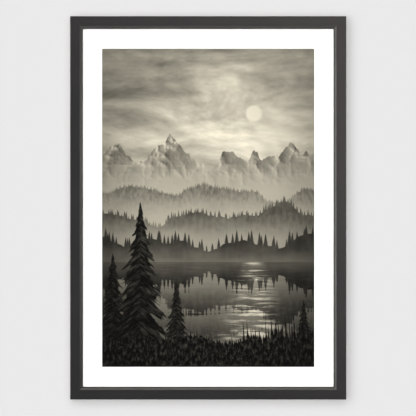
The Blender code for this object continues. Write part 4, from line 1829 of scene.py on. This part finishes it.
# %% Pile up the layers
VIGNETTE = 0.36
VIGNETTE_REACH = (0.9, 3.1)    # from its middle, where it begins and is at its darkest
VIGNETTE_MIDDLE = (0.0, 0.1)
VIGNETTE_STRETCH = 0.72        # under 1, it draws the vignette out upwards
GRAIN_SCALE = 130.0
GRAIN_STRENGTH = 0.12
DEEPEST_INK = 0.005


def picture_tone(tree, x, y):
    land_y, below, depth, ripples = lake_place(tree, x, y)
    tone = peaks_tone(tree, x, land_y, sky_tone(tree, x, land_y))
    for values in HILLS:
        tone = hill_tone(tree, x, land_y, tone, values)
    tone = mix_tone(tree, below, tone, lake_tone(tree, x, tone, depth, ripples))
    tone = bank_tone(tree, x, y, tone)
    from_middle = distance_from(tree, x, calc(tree, "MULTIPLY", y, VIGNETTE_STRETCH), VIGNETTE_MIDDLE)
    tone = calc(tree, "MULTIPLY", tone, fade(tree, from_middle, *VIGNETTE_REACH, 1.0, 1.0 - VIGNETTE))
    grains = noise(tree, point(tree, x, y), GRAIN_SCALE, 2.0)
    return calc(tree, "MAXIMUM", sway(tree, tone, grains, GRAIN_STRENGTH), DEEPEST_INK)


print("layers from sky to bank:", 3 + len(HILLS))

# %% [markdown]
# Last, the tones become paper and ink. A warm tint turns the greys to the brown of a toned print. The
# light in this scene is stronger than one, so the ink is set darker by that much, and the picture then
# looks as bright as it should.

# %% Print the picture
INK_TINT = (1.0, 0.912, 0.725, 1.0)
LIGHT_ON_PRINT = 1.38
EYE_GAMMA = 2.2
TO_DECIMETRES = 10.0
PRINT_BUMP = (0.2, 0.00002)


def print_paper():
    material, tree, shader = new_material("print_paper")
    place = object_place(tree)
    centred = add_node(tree, "Mapping", {"Vector": place, "Scale": [TO_DECIMETRES] * 3,
                                         "Location": -TO_DECIMETRES * centre_of("print_sheet")}).outputs[0]
    parts = add_node(tree, "SeparateXYZ", {0: centred}).outputs
    tone = picture_tone(tree, parts["X"], parts["Z"])
    ink = calc(tree, "DIVIDE", calc(tree, "POWER", tone, EYE_GAMMA), LIGHT_ON_PRINT)
    grey = add_node(tree, "CombineColor", {0: ink, 1: ink, 2: ink}).outputs[0]
    sheet = use_group(tree, paper, {"Place": place})
    fill(tree, shader, {"Base Color": mix_colour(tree, 1.0, grey, INK_TINT, "MULTIPLY"), "Roughness": 0.75,
                        "Normal": bump(tree, sheet["Height"], *PRINT_BUMP), "Specular IOR Level": 0.0})
    return material


dress("print_sheet", print_paper())
print("print:", len(nodes["print_sheet"].material_slots[0].material.node_tree.nodes), "nodes")
